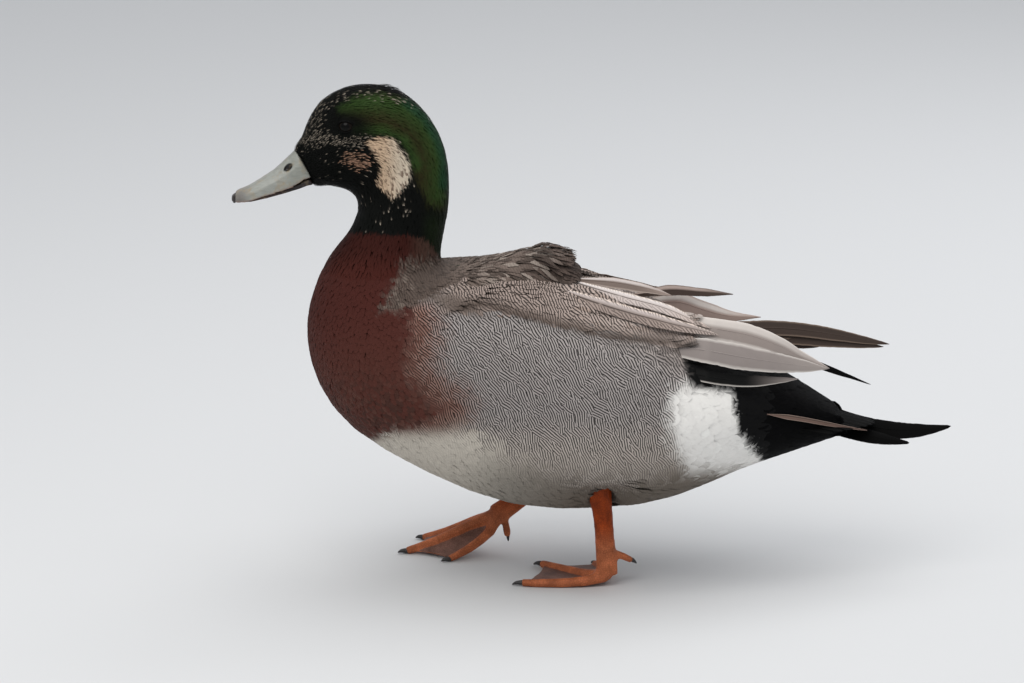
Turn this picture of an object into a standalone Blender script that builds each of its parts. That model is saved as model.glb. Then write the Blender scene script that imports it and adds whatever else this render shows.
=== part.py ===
"""A life-size drake dabbling duck in a walking stance, facing -X, with its left side towards -Y.

The body is one lofted form: every station joins a point of the back line to a point of the breast
line, and its section is a rounded ring in that plane. Head, neck, trunk and stern are stretches of
that loft, parted by thin cuts. Wings and mantle are shells laid over it, and the long feathers,
bill, eyes and legs are solids of their own.
"""

import math

import bmesh
import bpy
from mathutils import Matrix, Vector

# ---------------------------------------------------------------- driving dimensions, in mm
MM = 0.001
GAP = 0.3  # clearance between neighbouring solids
RING_SIDES = 28  # facets round the body
RINGS_PER_STATION = 2
FEATHER = 0.8  # thickness of a long feather's vane at its shaft
WEB = 1.2  # thickness of the skin between the toes
SHELL_ROOT = 2.5  # how far a shell over the body reaches into it before it is cut clear
EYE_RADIUS = 5.4
EYE_PROUD = 1.5  # how far the eye stands out of the head

# name, back line (x, z), breast line (x, z), half width, height of the widest level, fullness
STATIONS = (
    ("bill_root", (-175.2, 264.1), (-168.0, 242.8), 9.0, -0.20, 0.50),
    ("forehead", (-171.6, 275.8), (-159.0, 240.4), 13.5, -0.20, 0.50),
    ("brow", (-162.6, 291.9), (-151.8, 239.2), 17.5, -0.20, 0.48),
    ("crown", (-146.4, 300.8), (-145.2, 237.1), 20.5, -0.15, 0.47),
    ("hind_crown", (-129.6, 302.3), (-141.0, 233.1), 22.0, -0.10, 0.47),
    ("occiput", (-112.8, 297.4), (-140.1, 229.4), 22.5, -0.05, 0.48),
    ("poll", (-97.2, 282.5), (-140.4, 225.0), 22.5, 0.00, 0.50),
    ("nape", (-87.6, 262.1), (-141.9, 219.9), 22.5, 0.00, 0.50),
    ("mid_neck", (-85.2, 240.5), (-144.6, 213.6), 23.0, 0.00, 0.50),
    ("low_neck", (-86.4, 221.3), (-149.4, 206.7), 25.0, 0.00, 0.50),
    ("neck_foot", (-90.6, 197.2), (-159.6, 192.9), 33.0, 0.00, 0.50),
    ("collar", (-85.2, 190.2), (-168.6, 169.7), 47.0, 0.00, 0.50),
    ("keel_front", (-75.6, 188.7), (-171.0, 146.6), 58.0, 0.00, 0.49),
    ("shoulder", (-63.6, 188.4), (-164.4, 119.8), 66.0, 0.00, 0.48),
    ("mid_breast", (-48.0, 188.1), (-144.0, 92.8), 71.0, 0.00, 0.47),
    ("fore_belly", (-26.4, 186.0), (-100.2, 65.9), 74.0, 0.00, 0.46),
    ("belly", (4.8, 179.3), (-49.2, 46.2), 75.0, -0.05, 0.45),
    ("loin", (34.8, 167.4), (4.8, 43.6), 72.0, -0.05, 0.45),
    ("vent", (64.8, 151.4), (48.0, 50.0), 63.0, 0.00, 0.46),
    ("rump", (91.8, 136.5), (87.6, 65.8), 49.0, 0.10, 0.48),
    ("stern", (118.8, 121.7), (120.0, 76.4), 33.0, 0.20, 0.50),
    ("tail_root", (148.0, 103.0), (152.0, 87.0), 17.0, 0.25, 0.50),
)
NAMES = [row[0] for row in STATIONS]

# Each long feather: root, middle and tip of its shaft, half width, and the lean of its vane in
# degrees about the shaft: 0 lies flat, and above 0 the left edge is the lower one.
TERTIALS = {
    "left": (
        ((40, -25, 163), (92, -22, 147), (143, -17, 131), 9.0, 24),
        ((36, -38, 155), (84, -33, 139), (133, -25, 126.5), 8.5, 38),
        ((34, -48, 145), (78, -42, 130), (124, -31, 121), 8.0, 50),
    ),
    "right": (
        ((28, 9, 169), (56, 12, 169.5), (86, 13, 169.5), 7.0, 12),
        ((36, 19, 163), (70, 18, 157.5), (103, 17, 153.5), 8.0, 14),
        ((36, 42, 150), (80, 37, 135), (124, 28, 123), 8.5, -44),
    ),
}
PRIMARIES = {
    "left": (
        ((74, -16, 141), (120, -14, 136.5), (167, -18, 121.5), 6.0, 20),
        ((74, -18, 139.5), (110, -16, 135.5), (148, -18, 126.5), 7.0, 20),
    ),
    "right": (
        ((66, 12, 148), (120, 14, 143.5), (179, 13, 137.5), 8.0, 28),
        ((66, 14, 146), (112, 16, 141.5), (160, 15, 139.5), 10.5, 28),
        ((66, 16, 144), (104, 18, 139.5), (142, 17, 138.5), 11.0, 28),
    ),
}
PLUMES = {  # the two long middle feathers of the tail, which curve up at the tip
    "left": ((124, -5.0, 99), (160, -6.0, 87.5), (191, -5.0, 81.5), 5.4, 40),
    "right": ((124, 3.5, 103), (176, 3.0, 87.6), (216, 0.0, 90.4), 6.4, 44),
}
TAIL_FEATHERS = 7  # in each half of the fan
TAIL_HALF_ROOT, TAIL_HALF_TIP = 32, 27  # half width of the fan at its root and near its tips
TAIL_ROOT_X, TAIL_MIDDLE_TIP_X, TAIL_OUTER_TIP_X = 108, 172, 142
TAIL_ROOT_HEIGHT, TAIL_SLOPE, TAIL_ARCH = 110.0, -0.27, 0.010

# Culmen (x, z), tomium (x, z) and half width of the upper bill, from its root to its tip
BILL = (
    ((-176.9, 262.6), (-170.0, 246.6), 8.7),
    ((-182.4, 257.2), (-176.0, 243.7), 9.0),
    ((-190.2, 249.7), (-184.8, 240.3), 9.3),
    ((-198.0, 244.8), (-194.4, 237.6), 9.8),
    ((-205.2, 241.2), (-203.4, 235.6), 9.7),
    ((-210.2, 239.0), (-209.6, 234.4), 8.2),
    ((-212.3, 237.6), (-211.9, 233.9), 6.2),
)
JAW = (  # top (x, z), bottom (x, z) and half width of the lower bill
    ((-170.2, 245.6), (-168.8, 242.0), 7.4),
    ((-176.0, 242.6), (-174.8, 239.6), 7.6),
    ((-185.4, 239.2), (-184.4, 236.6), 7.9),
    ((-195.0, 236.5), (-194.2, 233.9), 8.1),
    ((-203.6, 234.5), (-203.2, 232.5), 7.6),
    ((-209.0, 233.4), (-208.8, 232.0), 5.6),
)
NAIL_PATH = ((-213.9, 0, 236.0), (-214.7, 0, 235.0), (-215.1, 0, 233.2), (-214.9, 0, 231.4))
NAIL_HALF_HEIGHT, NAIL_HALF_WIDTH = (1.4, 1.4, 1.1, 0.5), (5.0, 4.6, 3.6, 1.8)
NOSTRIL = (-182.6, 251.6)  # its middle, x and z; it slants with the culmen

# Joint paths from the foot of the shank to the end of each toe, and its claw's tip
FEET = {
    "left": {
        "outer": (((9, -31, 6.5), (-4, -33.5, 3.6), (-22, -34.5, 2.6), (-42, -33, 2.4)), (-48, -32, 0.9)),
        "middle": (((8, -30, 6.5), (-3, -21, 4.0), (-17, -6, 2.8), (-30, 7, 2.4)), (-35, 11, 0.9)),
        "inner": (((9, -29, 6.5), (9, -18, 3.6), (7, -4, 2.4), (2, 9, 2.1)), (0, 14, 0.9)),
        "hind": (((10, -30.5, 21.0), (16, -29.5, 19.0), (20.5, -29, 16.8), (24, -28.5, 15)), (26.8, -28, 13)),
    },
    "right": {
        "outer": (((-57, 41, 24), (-72, 50, 16.5), (-88, 59, 7.5), (-102, 66.5, 1.6)), (-107, 69, 0.7)),
        "middle": (((-58, 40, 24), (-73, 40, 17.5), (-94, 38.5, 7.6), (-112, 37, 1.7)), (-117.5, 36.6, 0.7)),
        "inner": (((-57, 38, 23), (-61, 34, 15.0), (-74, 25.5, 6.6), (-86, 20, 1.6)), (-91, 18, 0.7)),
        "hind": (((-54, 40, 25.5), (-52.2, 40, 19), (-51.2, 40, 14), (-50.8, 40, 10.2)), (-50.2, 40, 7)),
    },
}
SHANKS = {
    "left": ((9, -31, 6.5), (8.8, -31, 14), (7.6, -31, 30), (6.4, -31, 46), (5, -31, 60), (4, -31, 72)),
    "right": (
        (-58, 40, 23.5), (-51, 39.6, 28.6), (-43, 39, 34.4), (-34, 38.2, 41), (-25, 37.4, 47.5), (-12, 36.4, 57),
    ),
}
TOE_RADII = {
    "outer": (4.4, 3.3, 2.9, 2.3),
    "middle": (4.4, 3.4, 3.0, 2.4),
    "inner": (4.2, 3.1, 2.8, 2.2),
    "hind": (2.8, 2.5, 2.4, 1.9),
}
SHANK_FORE_AFT = (7.2, 6.8, 5.8, 6.0, 6.9, 7.4)
SHANK_ACROSS = (5.2, 4.7, 4.2, 4.4, 5.2, 5.6)
ANKLE_CUT = {"left": 0.36, "right": 0.30}  # where along the shank its cut from the foot lies

COLOURS = {  # base colour, roughness
    "head": ((0.02, 0.05, 0.02), 0.45),
    "chestnut": ((0.10, 0.03, 0.02), 0.7),
    "flank": ((0.30, 0.29, 0.28), 0.7),
    "stern": ((0.01, 0.01, 0.01), 0.6),
    "wing": ((0.27, 0.23, 0.20), 0.7),
    "long_feather": ((0.32, 0.28, 0.25), 0.55),
    "dark_feather": ((0.05, 0.04, 0.035), 0.55),
    "bill": ((0.50, 0.52, 0.48), 0.35),
    "nail": ((0.03, 0.02, 0.02), 0.35),
    "eye": ((0.01, 0.006, 0.004), 0.05),
    "leg": ((0.55, 0.16, 0.03), 0.5),
    "claw": ((0.02, 0.02, 0.02), 0.4),
}


# ---------------------------------------------------------------- scene and object helpers
def clear_scene():
    for obj in list(bpy.data.objects):
        bpy.data.objects.remove(obj)


def material(kind):
    found = bpy.data.materials.get(kind)
    if found:
        return found
    colour, roughness = COLOURS[kind]
    made = bpy.data.materials.new(kind)
    made.use_nodes = True
    shader = made.node_tree.nodes["Principled BSDF"]
    shader.inputs["Base Color"].default_value = (*colour, 1)
    shader.inputs["Roughness"].default_value = roughness
    return made


def object_from(bm, name, kind):
    """Makes an object in the duck's collection, or a cutter, from a bmesh in mm."""
    bmesh.ops.recalc_face_normals(bm, faces=bm.faces)
    bmesh.ops.scale(bm, vec=(MM, MM, MM), verts=bm.verts)
    mesh = bpy.data.meshes.new(name)
    bm.to_mesh(mesh)
    bm.free()
    obj = bpy.data.objects.new(name, mesh)
    if kind == "cutter":
        obj.hide_render = True
        obj.display_type = "WIRE"
        CUTTERS.objects.link(obj)
        return obj
    mesh.materials.append(material(kind))
    mesh.shade_smooth()
    DUCK.objects.link(obj)
    return obj


def rings_to_bmesh(rings):
    """A closed skin over rings of points, with a flat cap on each end."""
    bm = bmesh.new()
    loops = [[bm.verts.new(p) for p in ring] for ring in rings]
    count = len(rings[0])
    for near, far in zip(loops, loops[1:]):
        for i in range(count):
            j = (i + 1) % count
            bm.faces.new((near[i], near[j], far[j], far[i]))
    bm.faces.new(loops[0])
    bm.faces.new(loops[-1])
    return bm


def spline(points, t):
    """A smooth curve through the points, t running from 0 to 1. A point may be any row of numbers."""
    last = len(points) - 1
    place = t * last
    i = min(int(place), last - 1)
    u = place - i
    rows = [points[max(0, min(last, i + k))] for k in (-1, 0, 1, 2)]
    return [
        0.5 * (2 * b + (c - a) * u + (2 * a - 5 * b + 4 * c - d) * u**2 + (3 * b - a - 3 * c + d) * u**3)
        for a, b, c, d in zip(*rows)
    ]


def keep_largest(mesh):
    """Drops every loose piece of a mesh but the one with the most corners."""
    bm = bmesh.new()
    bm.from_mesh(mesh)
    unseen = set(bm.verts)
    pieces = []
    while unseen:
        reached = {unseen.pop()}
        frontier = list(reached)
        while frontier:
            vert = frontier.pop()
            for edge in vert.link_edges:
                other = edge.other_vert(vert)
                if other in unseen:
                    unseen.remove(other)
                    reached.add(other)
                    frontier.append(other)
        pieces.append(reached)
    pieces.sort(key=len)
    for piece in pieces[:-1]:
        bmesh.ops.delete(bm, geom=list(piece), context="VERTS")
    bm.to_mesh(mesh)
    bm.free()


def boolean(target, tool, operation):
    modifier = target.modifiers.new(operation.lower(), "BOOLEAN")
    modifier.operation = operation
    modifier.solver = "MANIFOLD"
    modifier.object = tool
    graph = bpy.context.evaluated_depsgraph_get()
    mesh = bpy.data.meshes.new_from_object(target.evaluated_get(graph))
    target.modifiers.clear()
    keep_largest(mesh)
    mesh.name = target.name
    target.data = mesh


def cut(target, *cutters):
    for cutter in cutters:
        boolean(target, cutter, "DIFFERENCE")


def join(name, *solids):
    """Joins overlapping solids into the first, which takes the name."""
    first = solids[0]
    for other in solids[1:]:
        boolean(first, other, "UNION")
        bpy.data.objects.remove(other)
    first.name = name
    first.data.name = name
    return first


def sliced(obj, point, facing):
    """Cuts away what lies on the side of a plane that it faces, and closes the cut flat."""
    bm = bmesh.new()
    bm.from_mesh(obj.data)
    everything = bm.verts[:] + bm.edges[:] + bm.faces[:]
    bmesh.ops.bisect_plane(bm, geom=everything, dist=1e-7, plane_co=Vector(point) * MM, plane_no=facing, clear_outer=True)
    rim = [edge for edge in bm.edges if edge.is_boundary]
    if rim:
        bmesh.ops.triangle_fill(bm, edges=rim, use_beauty=True)
    bmesh.ops.dissolve_degenerate(bm, edges=bm.edges, dist=1e-6)
    bmesh.ops.recalc_face_normals(bm, faces=bm.faces)
    bm.to_mesh(obj.data)
    bm.free()
    return obj


def twin(obj, name):
    copied = bpy.data.objects.new(name, obj.data.copy())
    DUCK.objects.link(copied)
    return copied


# ---------------------------------------------------------------- the lofted body
def body_row(s):
    last = len(STATIONS) - 1
    return spline([[*back, *breast, *rest] for _, back, breast, *rest in STATIONS], s / last)


def body_point(s, angle):
    """A point of the body's outline: angle 0 is the back line, pi the breast line, +pi/2 the left."""
    back_x, back_z, breast_x, breast_z, half_width, level, fullness = body_row(s)
    up = Vector((back_x - breast_x, 0, back_z - breast_z)) / 2
    middle = Vector((back_x + breast_x, 0, back_z + breast_z)) / 2
    rise = math.cos(angle)
    height = level + (1 - level if rise > 0 else 1 + level) * rise
    side = abs(math.sin(angle)) ** (2 * fullness) * math.copysign(half_width, -math.sin(angle))
    return middle + up * height + Vector((0, side, 0))


def body_normal(s, angle):
    step = 0.02
    along = body_point(s + step, angle) - body_point(s - step, angle)
    around = body_point(s, angle + step) - body_point(s, angle - step)
    return around.cross(along).normalized()


def body_rings(start, end, grow=0.0):
    first, last = NAMES.index(start), NAMES.index(end)
    places = [first + i / RINGS_PER_STATION for i in range((last - first) * RINGS_PER_STATION + 1)]
    angles = [math.tau * k / RING_SIDES for k in range(RING_SIDES)]
    return [[body_point(s, angle) + body_normal(s, angle) * grow for angle in angles] for s in places]


def body_stretch(name, kind, start, end, start_gap, end_gap):
    """The body between two stations, its end caps drawn back by their share of the clearance."""
    rings = body_rings(start, end)
    for ring, neighbour, gap in ((rings[0], rings[1], start_gap), (rings[-1], rings[-2], end_gap)):
        inwards = (neighbour[0] + neighbour[RING_SIDES // 2] - ring[0] - ring[RING_SIDES // 2]) / 2
        facing = (ring[0] - ring[RING_SIDES // 2]).cross(Vector((0, 1, 0))).normalized()
        if facing.dot(inwards) < 0:
            facing.negate()
        for point in ring:
            point += facing * gap
    return object_from(rings_to_bmesh(rings), name, kind)


def laid_shell(name, kind, rows, columns, place, rise, grow=0.0):
    """A shell that reaches into the body. place(u, v) gives a station place and an angle, and
    rise(u, v) how far the shell stands out. u runs to the tail and v round the body."""
    rings = []
    for i in range(rows + 1):
        outer, inner = [], []
        for j in range(columns + 1):
            u, v = i / rows, j / columns
            beyond_u = 0.02 * grow * ((i == rows) - (i == 0))
            beyond_v = 0.04 * grow * ((j == columns) - (j == 0))
            at = place(u + beyond_u, v + beyond_v)
            outer.append(body_point(*at) + body_normal(*at) * (rise(u, v) + 1.5 * grow))
            inner.append(body_point(*at) - body_normal(*at) * (SHELL_ROOT + grow))
        rings.append(outer + inner[::-1])
    return object_from(rings_to_bmesh(rings), name, kind)


# ---------------------------------------------------------------- wings, mantle and long feathers
def wing(name, side, kind, grow=0.0):
    """A folded wing with its scapulars: a shell from the shoulder to the loin."""
    hand = 1 if side == "left" else -1
    lower_edge = (58, 48, 44, 44, 42, 38, 37)  # degrees from the back line, shoulder to loin
    upper_edge = (44, 22, 15, 9, 6, 4, 3)

    def place(u, v):
        low = spline([[a] for a in lower_edge], u)[0]
        high = spline([[a] for a in upper_edge], u)[0]
        return 12.4 + 5.6 * u, hand * math.radians(high + (low - high) * v)

    def rise(u, v):
        return 1.0 + 3.0 * max(0, math.sin(math.pi * v)) ** 0.6 * math.sin(math.pi * (0.08 + 0.8 * u)) ** 0.5

    return laid_shell(name, kind, 14, 5, place, rise, grow)


def mantle(name, kind, grow=0.0):
    """The loose feathers over the shoulders, which stand up at their hind end."""
    half_angles = (46, 34, 20, 15, 12, 9.5)
    lifts = (1.6, 4.4, 7.0, 10.0, 15.5, 8.5)

    def place(u, v):
        half = spline([[a] for a in half_angles], u)[0]
        return 11.2 + 4.4 * u, math.radians(half) * (2 * v - 1)

    def rise(u, v):
        return spline([[lift] for lift in lifts], u)[0] * math.sin(math.pi * (0.12 + 0.76 * v)) ** 0.7

    return laid_shell(name, kind, 11, 6, place, rise, grow)


def long_feather(name, kind, root, middle, tip, half_width, lean, grow=0.0):
    """A flat feather with a rounded, pointed end, whose vane leans about the shaft."""
    shaft = [Vector(point) for point in (root, middle, tip)]
    shaft[0] -= (shaft[1] - shaft[0]).normalized() * grow
    shaft[2] += (shaft[2] - shaft[1]).normalized() * grow
    turn = math.radians(lean)
    rows = 7
    rings = []
    for i in range(rows + 1):
        t = i / rows
        centre = Vector(spline(shaft, t))
        along = Vector(spline(shaft, min(1, t + 0.02))) - Vector(spline(shaft, max(0, t - 0.02)))
        flat = along.cross(Vector((0, 0, 1))).normalized()
        if flat.y < 0:
            flat.negate()
        upward = flat.cross(along).normalized()
        if upward.z < 0:
            upward.negate()
        across = flat * math.cos(turn) + upward * math.sin(turn)
        upward = upward * math.cos(turn) - flat * math.sin(turn)
        swell = 0.75 + 0.25 * math.sin(math.pi * t)
        width = max(0.8, half_width * swell * (1 - max(0, (t - 0.45) / 0.55) ** 2.2)) + grow
        top = [
            centre + across * width * k + upward * (0.05 * half_width * (1 - k * k) + FEATHER / 2 + grow)
            for k in (-1, -0.5, 0, 0.5, 1)
        ]
        rings.append(top + [point - upward * (FEATHER + 2 * grow) for point in reversed(top)])
    return object_from(rings_to_bmesh(rings), name, kind)


def tail_fan():
    """The tail feathers: a low roof with one step and one rounded tip to each feather."""
    made = []
    for label, style, grow, columns, rows in (
        ("tail_fan", "dark_feather", 0.0, TAIL_FEATHERS * 2 * 3, 2),
        ("tail_fan_seat", "cutter", GAP, 10, 1),
    ):
        rings = []
        for j in range(columns + 1):
            v = 2 * j / columns - 1
            feather = abs(v) * TAIL_FEATHERS
            within = feather - math.floor(min(feather, TAIL_FEATHERS - 0.001))
            reach = TAIL_MIDDLE_TIP_X + (TAIL_OUTER_TIP_X - TAIL_MIDDLE_TIP_X) * abs(v) ** 1.6
            if style == "cutter":
                reach += 1
                within = 0.5
            else:
                reach -= 5.0 * (2 * within - 1) ** 2
            top, bottom = [], []
            for i in range(rows + 1):
                x = TAIL_ROOT_X - grow + (reach - TAIL_ROOT_X + grow) * i / rows
                half = TAIL_HALF_ROOT + (TAIL_HALF_TIP - TAIL_HALF_ROOT) * i / rows + 3 * grow
                y = half * v
                z = TAIL_ROOT_HEIGHT + TAIL_SLOPE * (x - TAIL_ROOT_X) - TAIL_ARCH * y * y
                step = 0.5 * (0.5 - within) if style != "cutter" else 0
                top.append(Vector((x, y, z + step + FEATHER / 2 + 2 * grow)))
                bottom.append(Vector((x, y, z + step - FEATHER / 2 - 2 * grow)))
            rings.append(top + bottom[::-1])
        made.append(object_from(rings_to_bmesh(rings), label, style))
    return made


# ---------------------------------------------------------------- bill and eyes
def bill_solid(name, kind, rows, roof, hollow, steps):
    """A half of the bill: every section is a roof over an underside that may be hollow."""
    table = [[*top, *bottom, width] for top, bottom, width in rows]
    count = (len(rows) - 1) * steps
    rings = []
    for i in range(count + 1):
        top_x, top_z, bottom_x, bottom_z, half_width = spline(table, i / count)
        top, bottom = Vector((top_x, 0, top_z)), Vector((bottom_x, 0, bottom_z))
        ring = []
        for k in range(14):
            angle = math.tau * (k + 0.5) / 14
            rise = math.cos(angle) ** roof if math.cos(angle) > 0 else hollow * -math.cos(angle)
            ring.append(bottom + (top - bottom) * rise + Vector((0, math.sin(angle) * half_width, 0)))
        rings.append(ring)
    return object_from(rings_to_bmesh(rings), name, kind)


def nostril_cutter(hand):
    bm = bmesh.new()
    bmesh.ops.create_uvsphere(bm, u_segments=8, v_segments=6, radius=1.0)
    bmesh.ops.scale(bm, vec=(2.9, 1.6, 1.7), verts=bm.verts)
    bmesh.ops.rotate(bm, verts=bm.verts, matrix=Matrix.Rotation(math.radians(-38), 3, "Y"))
    bmesh.ops.translate(bm, vec=(NOSTRIL[0], 7.2 * hand, NOSTRIL[1]), verts=bm.verts)
    return object_from(bm, "nostril_cutter", "cutter")


def eye(side, kind, radius):
    hand = 1 if side == "left" else -1
    s, angle = 2.88, hand * math.radians(60)
    centre = body_point(s, angle) - body_normal(s, angle) * (EYE_RADIUS - EYE_PROUD)
    bm = bmesh.new()
    bmesh.ops.create_uvsphere(bm, u_segments=12, v_segments=8, radius=radius)
    bmesh.ops.translate(bm, vec=centre, verts=bm.verts)
    return object_from(bm, "eye_" + side, kind)


# ---------------------------------------------------------------- legs
def limb(name, kind, path, radii_along, radii_across=None, sides=10, steps=2, grow=0.0):
    """A tube along a path. radii_across is its half width across the body, where that differs."""
    radii_across = radii_across or radii_along
    rows = [[*point, along, across] for point, along, across in zip(path, radii_along, radii_across)]
    count = (len(rows) - 1) * steps
    rings = []
    for i in range(count + 1):
        t = i / count
        *centre, along, across = spline(rows, t)
        ahead, behind = spline(rows, min(1, t + 0.05)), spline(rows, max(0, t - 0.05))
        direction = (Vector(ahead[:3]) - Vector(behind[:3])).normalized()
        centre = Vector(centre) + direction * grow * ((t == 1) - (t == 0))
        sideways = Vector((0, 1, 0)) if abs(direction.y) < 0.75 else Vector((1, 0, 0))
        sideways = (sideways - direction * sideways.dot(direction)).normalized()
        front = direction.cross(sideways)
        ring = []
        for k in range(sides):
            angle = math.tau * k / sides
            ring.append(centre + front * (along + grow) * math.cos(angle) + sideways * (across + grow) * math.sin(angle))
        rings.append(ring)
    return object_from(rings_to_bmesh(rings), name, kind)


def web(first, second):
    """The skin between two toes, with a hollow front edge."""
    rows, columns = 6, 4
    rings = []
    for i in range(rows + 1):
        upper, lower = [], []
        for j in range(columns + 1):
            v = j / columns
            reach = 0.96 - 0.07 * math.sin(math.pi * v)
            t = 0.05 + (reach - 0.05) * i / rows
            point = Vector(spline(first, t)).lerp(Vector(spline(second, t)), v)
            point.z = max(point.z - 0.6, WEB / 2 + 0.4)
            upper.append(point + Vector((0, 0, WEB / 2)))
            lower.append(point - Vector((0, 0, WEB / 2)))
        rings.append(upper + lower[::-1])
    return object_from(rings_to_bmesh(rings), "web", "leg")


def claw(name, toe_path, tip, radius):
    """A short hooked cone from the end of a toe."""
    start, tip = Vector(toe_path[-1]), Vector(tip)
    middle = start.lerp(tip, 0.55) + Vector((0, 0, 0.3 * radius))
    return limb(name, "claw", (start, middle, tip), (radius * 0.84, radius * 0.62, 0.4), sides=6, steps=2)


def leg(side):
    """One leg modelled whole, then parted into shank and webbed foot; and the cutter for its top."""
    toes = FEET[side]
    shaft = limb("leg_" + side, "leg", SHANKS[side], SHANK_FORE_AFT, SHANK_ACROSS, steps=1)
    seat = limb("leg_seat_" + side, "cutter", SHANKS[side], SHANK_FORE_AFT, SHANK_ACROSS, steps=1, grow=GAP)
    digits = [limb(toe, "leg", path, TOE_RADII[toe], sides=8) for toe, (path, _) in toes.items()]
    webs = [web(toes["outer"][0], toes["middle"][0]), web(toes["middle"][0], toes["inner"][0])]
    whole = join("foot_" + side, *digits[:3], *webs, shaft, digits[3])
    sliced(whole, (0, 0, 0), (0, 0, -1))
    at, beyond = (Vector(spline(SHANKS[side], ANKLE_CUT[side] + d)) for d in (0, 0.02))
    along = (beyond - at).normalized()
    shank = twin(whole, "shank_" + side)
    sliced(shank, at + along * GAP / 2, -along)
    sliced(whole, at - along * GAP / 2, along)
    for toe, (path, tip) in toes.items():
        room = limb(f"{toe}_room", "cutter", path, TOE_RADII[toe], sides=8, grow=GAP)
        nail = claw(f"claw_{toe}_{side}", path, tip, TOE_RADII[toe][-1])
        cut(nail, room)
        sliced(nail, (0, 0, 0), (0, 0, -1))
    return seat


# ---------------------------------------------------------------- assembly
def build_body():
    """Head, neck, trunk and stern, and the cutter that keeps what lies on them clear of them."""
    head = body_stretch("head", "head", "bill_root", "poll", 0, GAP / 2)
    body_stretch("neck", "head", "poll", "neck_foot", GAP / 2, GAP / 2)
    trunk = body_stretch("trunk", "flank", "neck_foot", "rump", GAP / 2, GAP / 2)
    stern = body_stretch("stern", "stern", "rump", "tail_root", GAP / 2, 0)
    room = object_from(rings_to_bmesh(body_rings("neck_foot", "tail_root", 1.7 * GAP)), "body_room", "cutter")
    return head, trunk, stern, room


def build_wings(room):
    cape_room = mantle("mantle_room", "cutter", GAP)
    cut(mantle("mantle", "wing"), room)
    for side in ("left", "right"):
        cut(wing("wing_" + side, side, "wing"), room, cape_room)
        in_the_way = [room, wing("wing_room_" + side, side, "cutter", GAP), cape_room]
        for i, row in enumerate(TERTIALS[side]):
            cut(long_feather(f"tertial_{side}_{i + 1}", "long_feather", *row), *in_the_way)
            in_the_way.append(long_feather("tertial_room", "cutter", *row, grow=GAP))
        blades = [long_feather(f"primary_{i}", "dark_feather", *row) for i, row in enumerate(PRIMARIES[side])]
        cut(join("primaries_" + side, *blades), *in_the_way)


def build_tail(stern):
    fan, fan_seat = tail_fan()
    for side, row in PLUMES.items():
        long_feather("tail_plume_" + side, "stern", *row)
        seat = long_feather("plume_seat", "cutter", *row, grow=GAP)
        cut(fan, seat)
        cut(stern, seat)
    cut(stern, fan_seat)


def build_bill():
    upper = bill_solid("bill_upper", "bill", BILL, 0.8, 0.15, 2)
    cut(upper, nostril_cutter(-1), nostril_cutter(1))
    bill_solid("bill_lower", "bill", JAW, 0.25, -0.15, 1)
    limb("bill_nail", "nail", NAIL_PATH, NAIL_HALF_HEIGHT, NAIL_HALF_WIDTH, sides=10, steps=1)


clear_scene()
DUCK = bpy.data.collections.new("duck")
CUTTERS = bpy.data.collections.new("cutters")
for collection in (DUCK, CUTTERS):
    bpy.context.scene.collection.children.link(collection)

head, trunk, stern, body_room = build_body()
build_wings(body_room)
build_tail(stern)
build_bill()
for side in ("left", "right"):
    eye(side, "eye", EYE_RADIUS)
    cut(head, eye(side, "cutter", EYE_RADIUS + GAP))
    cut(trunk, leg(side))
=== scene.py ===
"""Looks of a life-size drake dabbling duck, walking towards -X with its left side towards -Y.

One skin stands for all the nodes of flesh. Over it lie thin closed feathers, rooted on the skin and
pointing along the lie of the plumage. Bill, eyes, lids, claws and the long feathers of the wings and
tail are pieces of their own. Lengths are in mm until a mesh is made.
"""

import math

import bmesh
import bpy
import numpy as np
from mathutils import Matrix, Vector
from mathutils.bvhtree import BVHTree
from mathutils.kdtree import KDTree


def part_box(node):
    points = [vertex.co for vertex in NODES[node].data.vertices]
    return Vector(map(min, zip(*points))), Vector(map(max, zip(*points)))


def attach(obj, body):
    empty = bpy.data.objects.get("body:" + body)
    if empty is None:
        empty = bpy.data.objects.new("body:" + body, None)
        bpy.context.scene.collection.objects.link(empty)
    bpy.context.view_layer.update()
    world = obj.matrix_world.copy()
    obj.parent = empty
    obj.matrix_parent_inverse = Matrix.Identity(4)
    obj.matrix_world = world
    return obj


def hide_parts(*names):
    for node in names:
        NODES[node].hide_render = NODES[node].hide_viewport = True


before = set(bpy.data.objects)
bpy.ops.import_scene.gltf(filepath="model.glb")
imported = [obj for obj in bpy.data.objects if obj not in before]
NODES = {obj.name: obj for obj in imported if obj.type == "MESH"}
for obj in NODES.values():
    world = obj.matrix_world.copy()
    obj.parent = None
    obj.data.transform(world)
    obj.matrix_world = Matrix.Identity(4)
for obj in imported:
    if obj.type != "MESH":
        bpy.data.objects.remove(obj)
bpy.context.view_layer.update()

# ---------------------------------------------------------------- sizes, in mm
MM = 0.001
FLESH = ("head", "neck", "trunk", "stern", "mantle", "wing_left", "wing_right")
WINGS = ("wing_left", "wing_right")
SIDES = ("left", "right")
BODY_VOXEL, LEG_VOXEL, HORN_VOXEL = 2.4, 0.62, 0.5
PLUG_DEPTH = 14  # how much of each shank's top fills the body's pit
HIGH_VIEW = math.radians(15)  # markings are laid out on a plane that leans back this much
SPINE = (  # the line the feathers lie along, from the bill to the tail: x, z
    (-176, 250), (-150, 266), (-132, 268), (-118, 256), (-114, 230), (-120, 206), (-112, 172),
    (-66, 132), (0, 112), (50, 104), (100, 97), (150, 93),
)
BILL_ROOT = np.array((-174.0, 0.0, 253.0))
LEG_TOPS = np.array(((5.0, -33.0, 60.0), (-26.0, 37.0, 56.0)))
ANKLES = {"left": np.array((10.0, -31.0, 9.0)), "right": np.array((-58.0, 39.0, 28.0))}

rng = np.random.default_rng(20)


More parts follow.
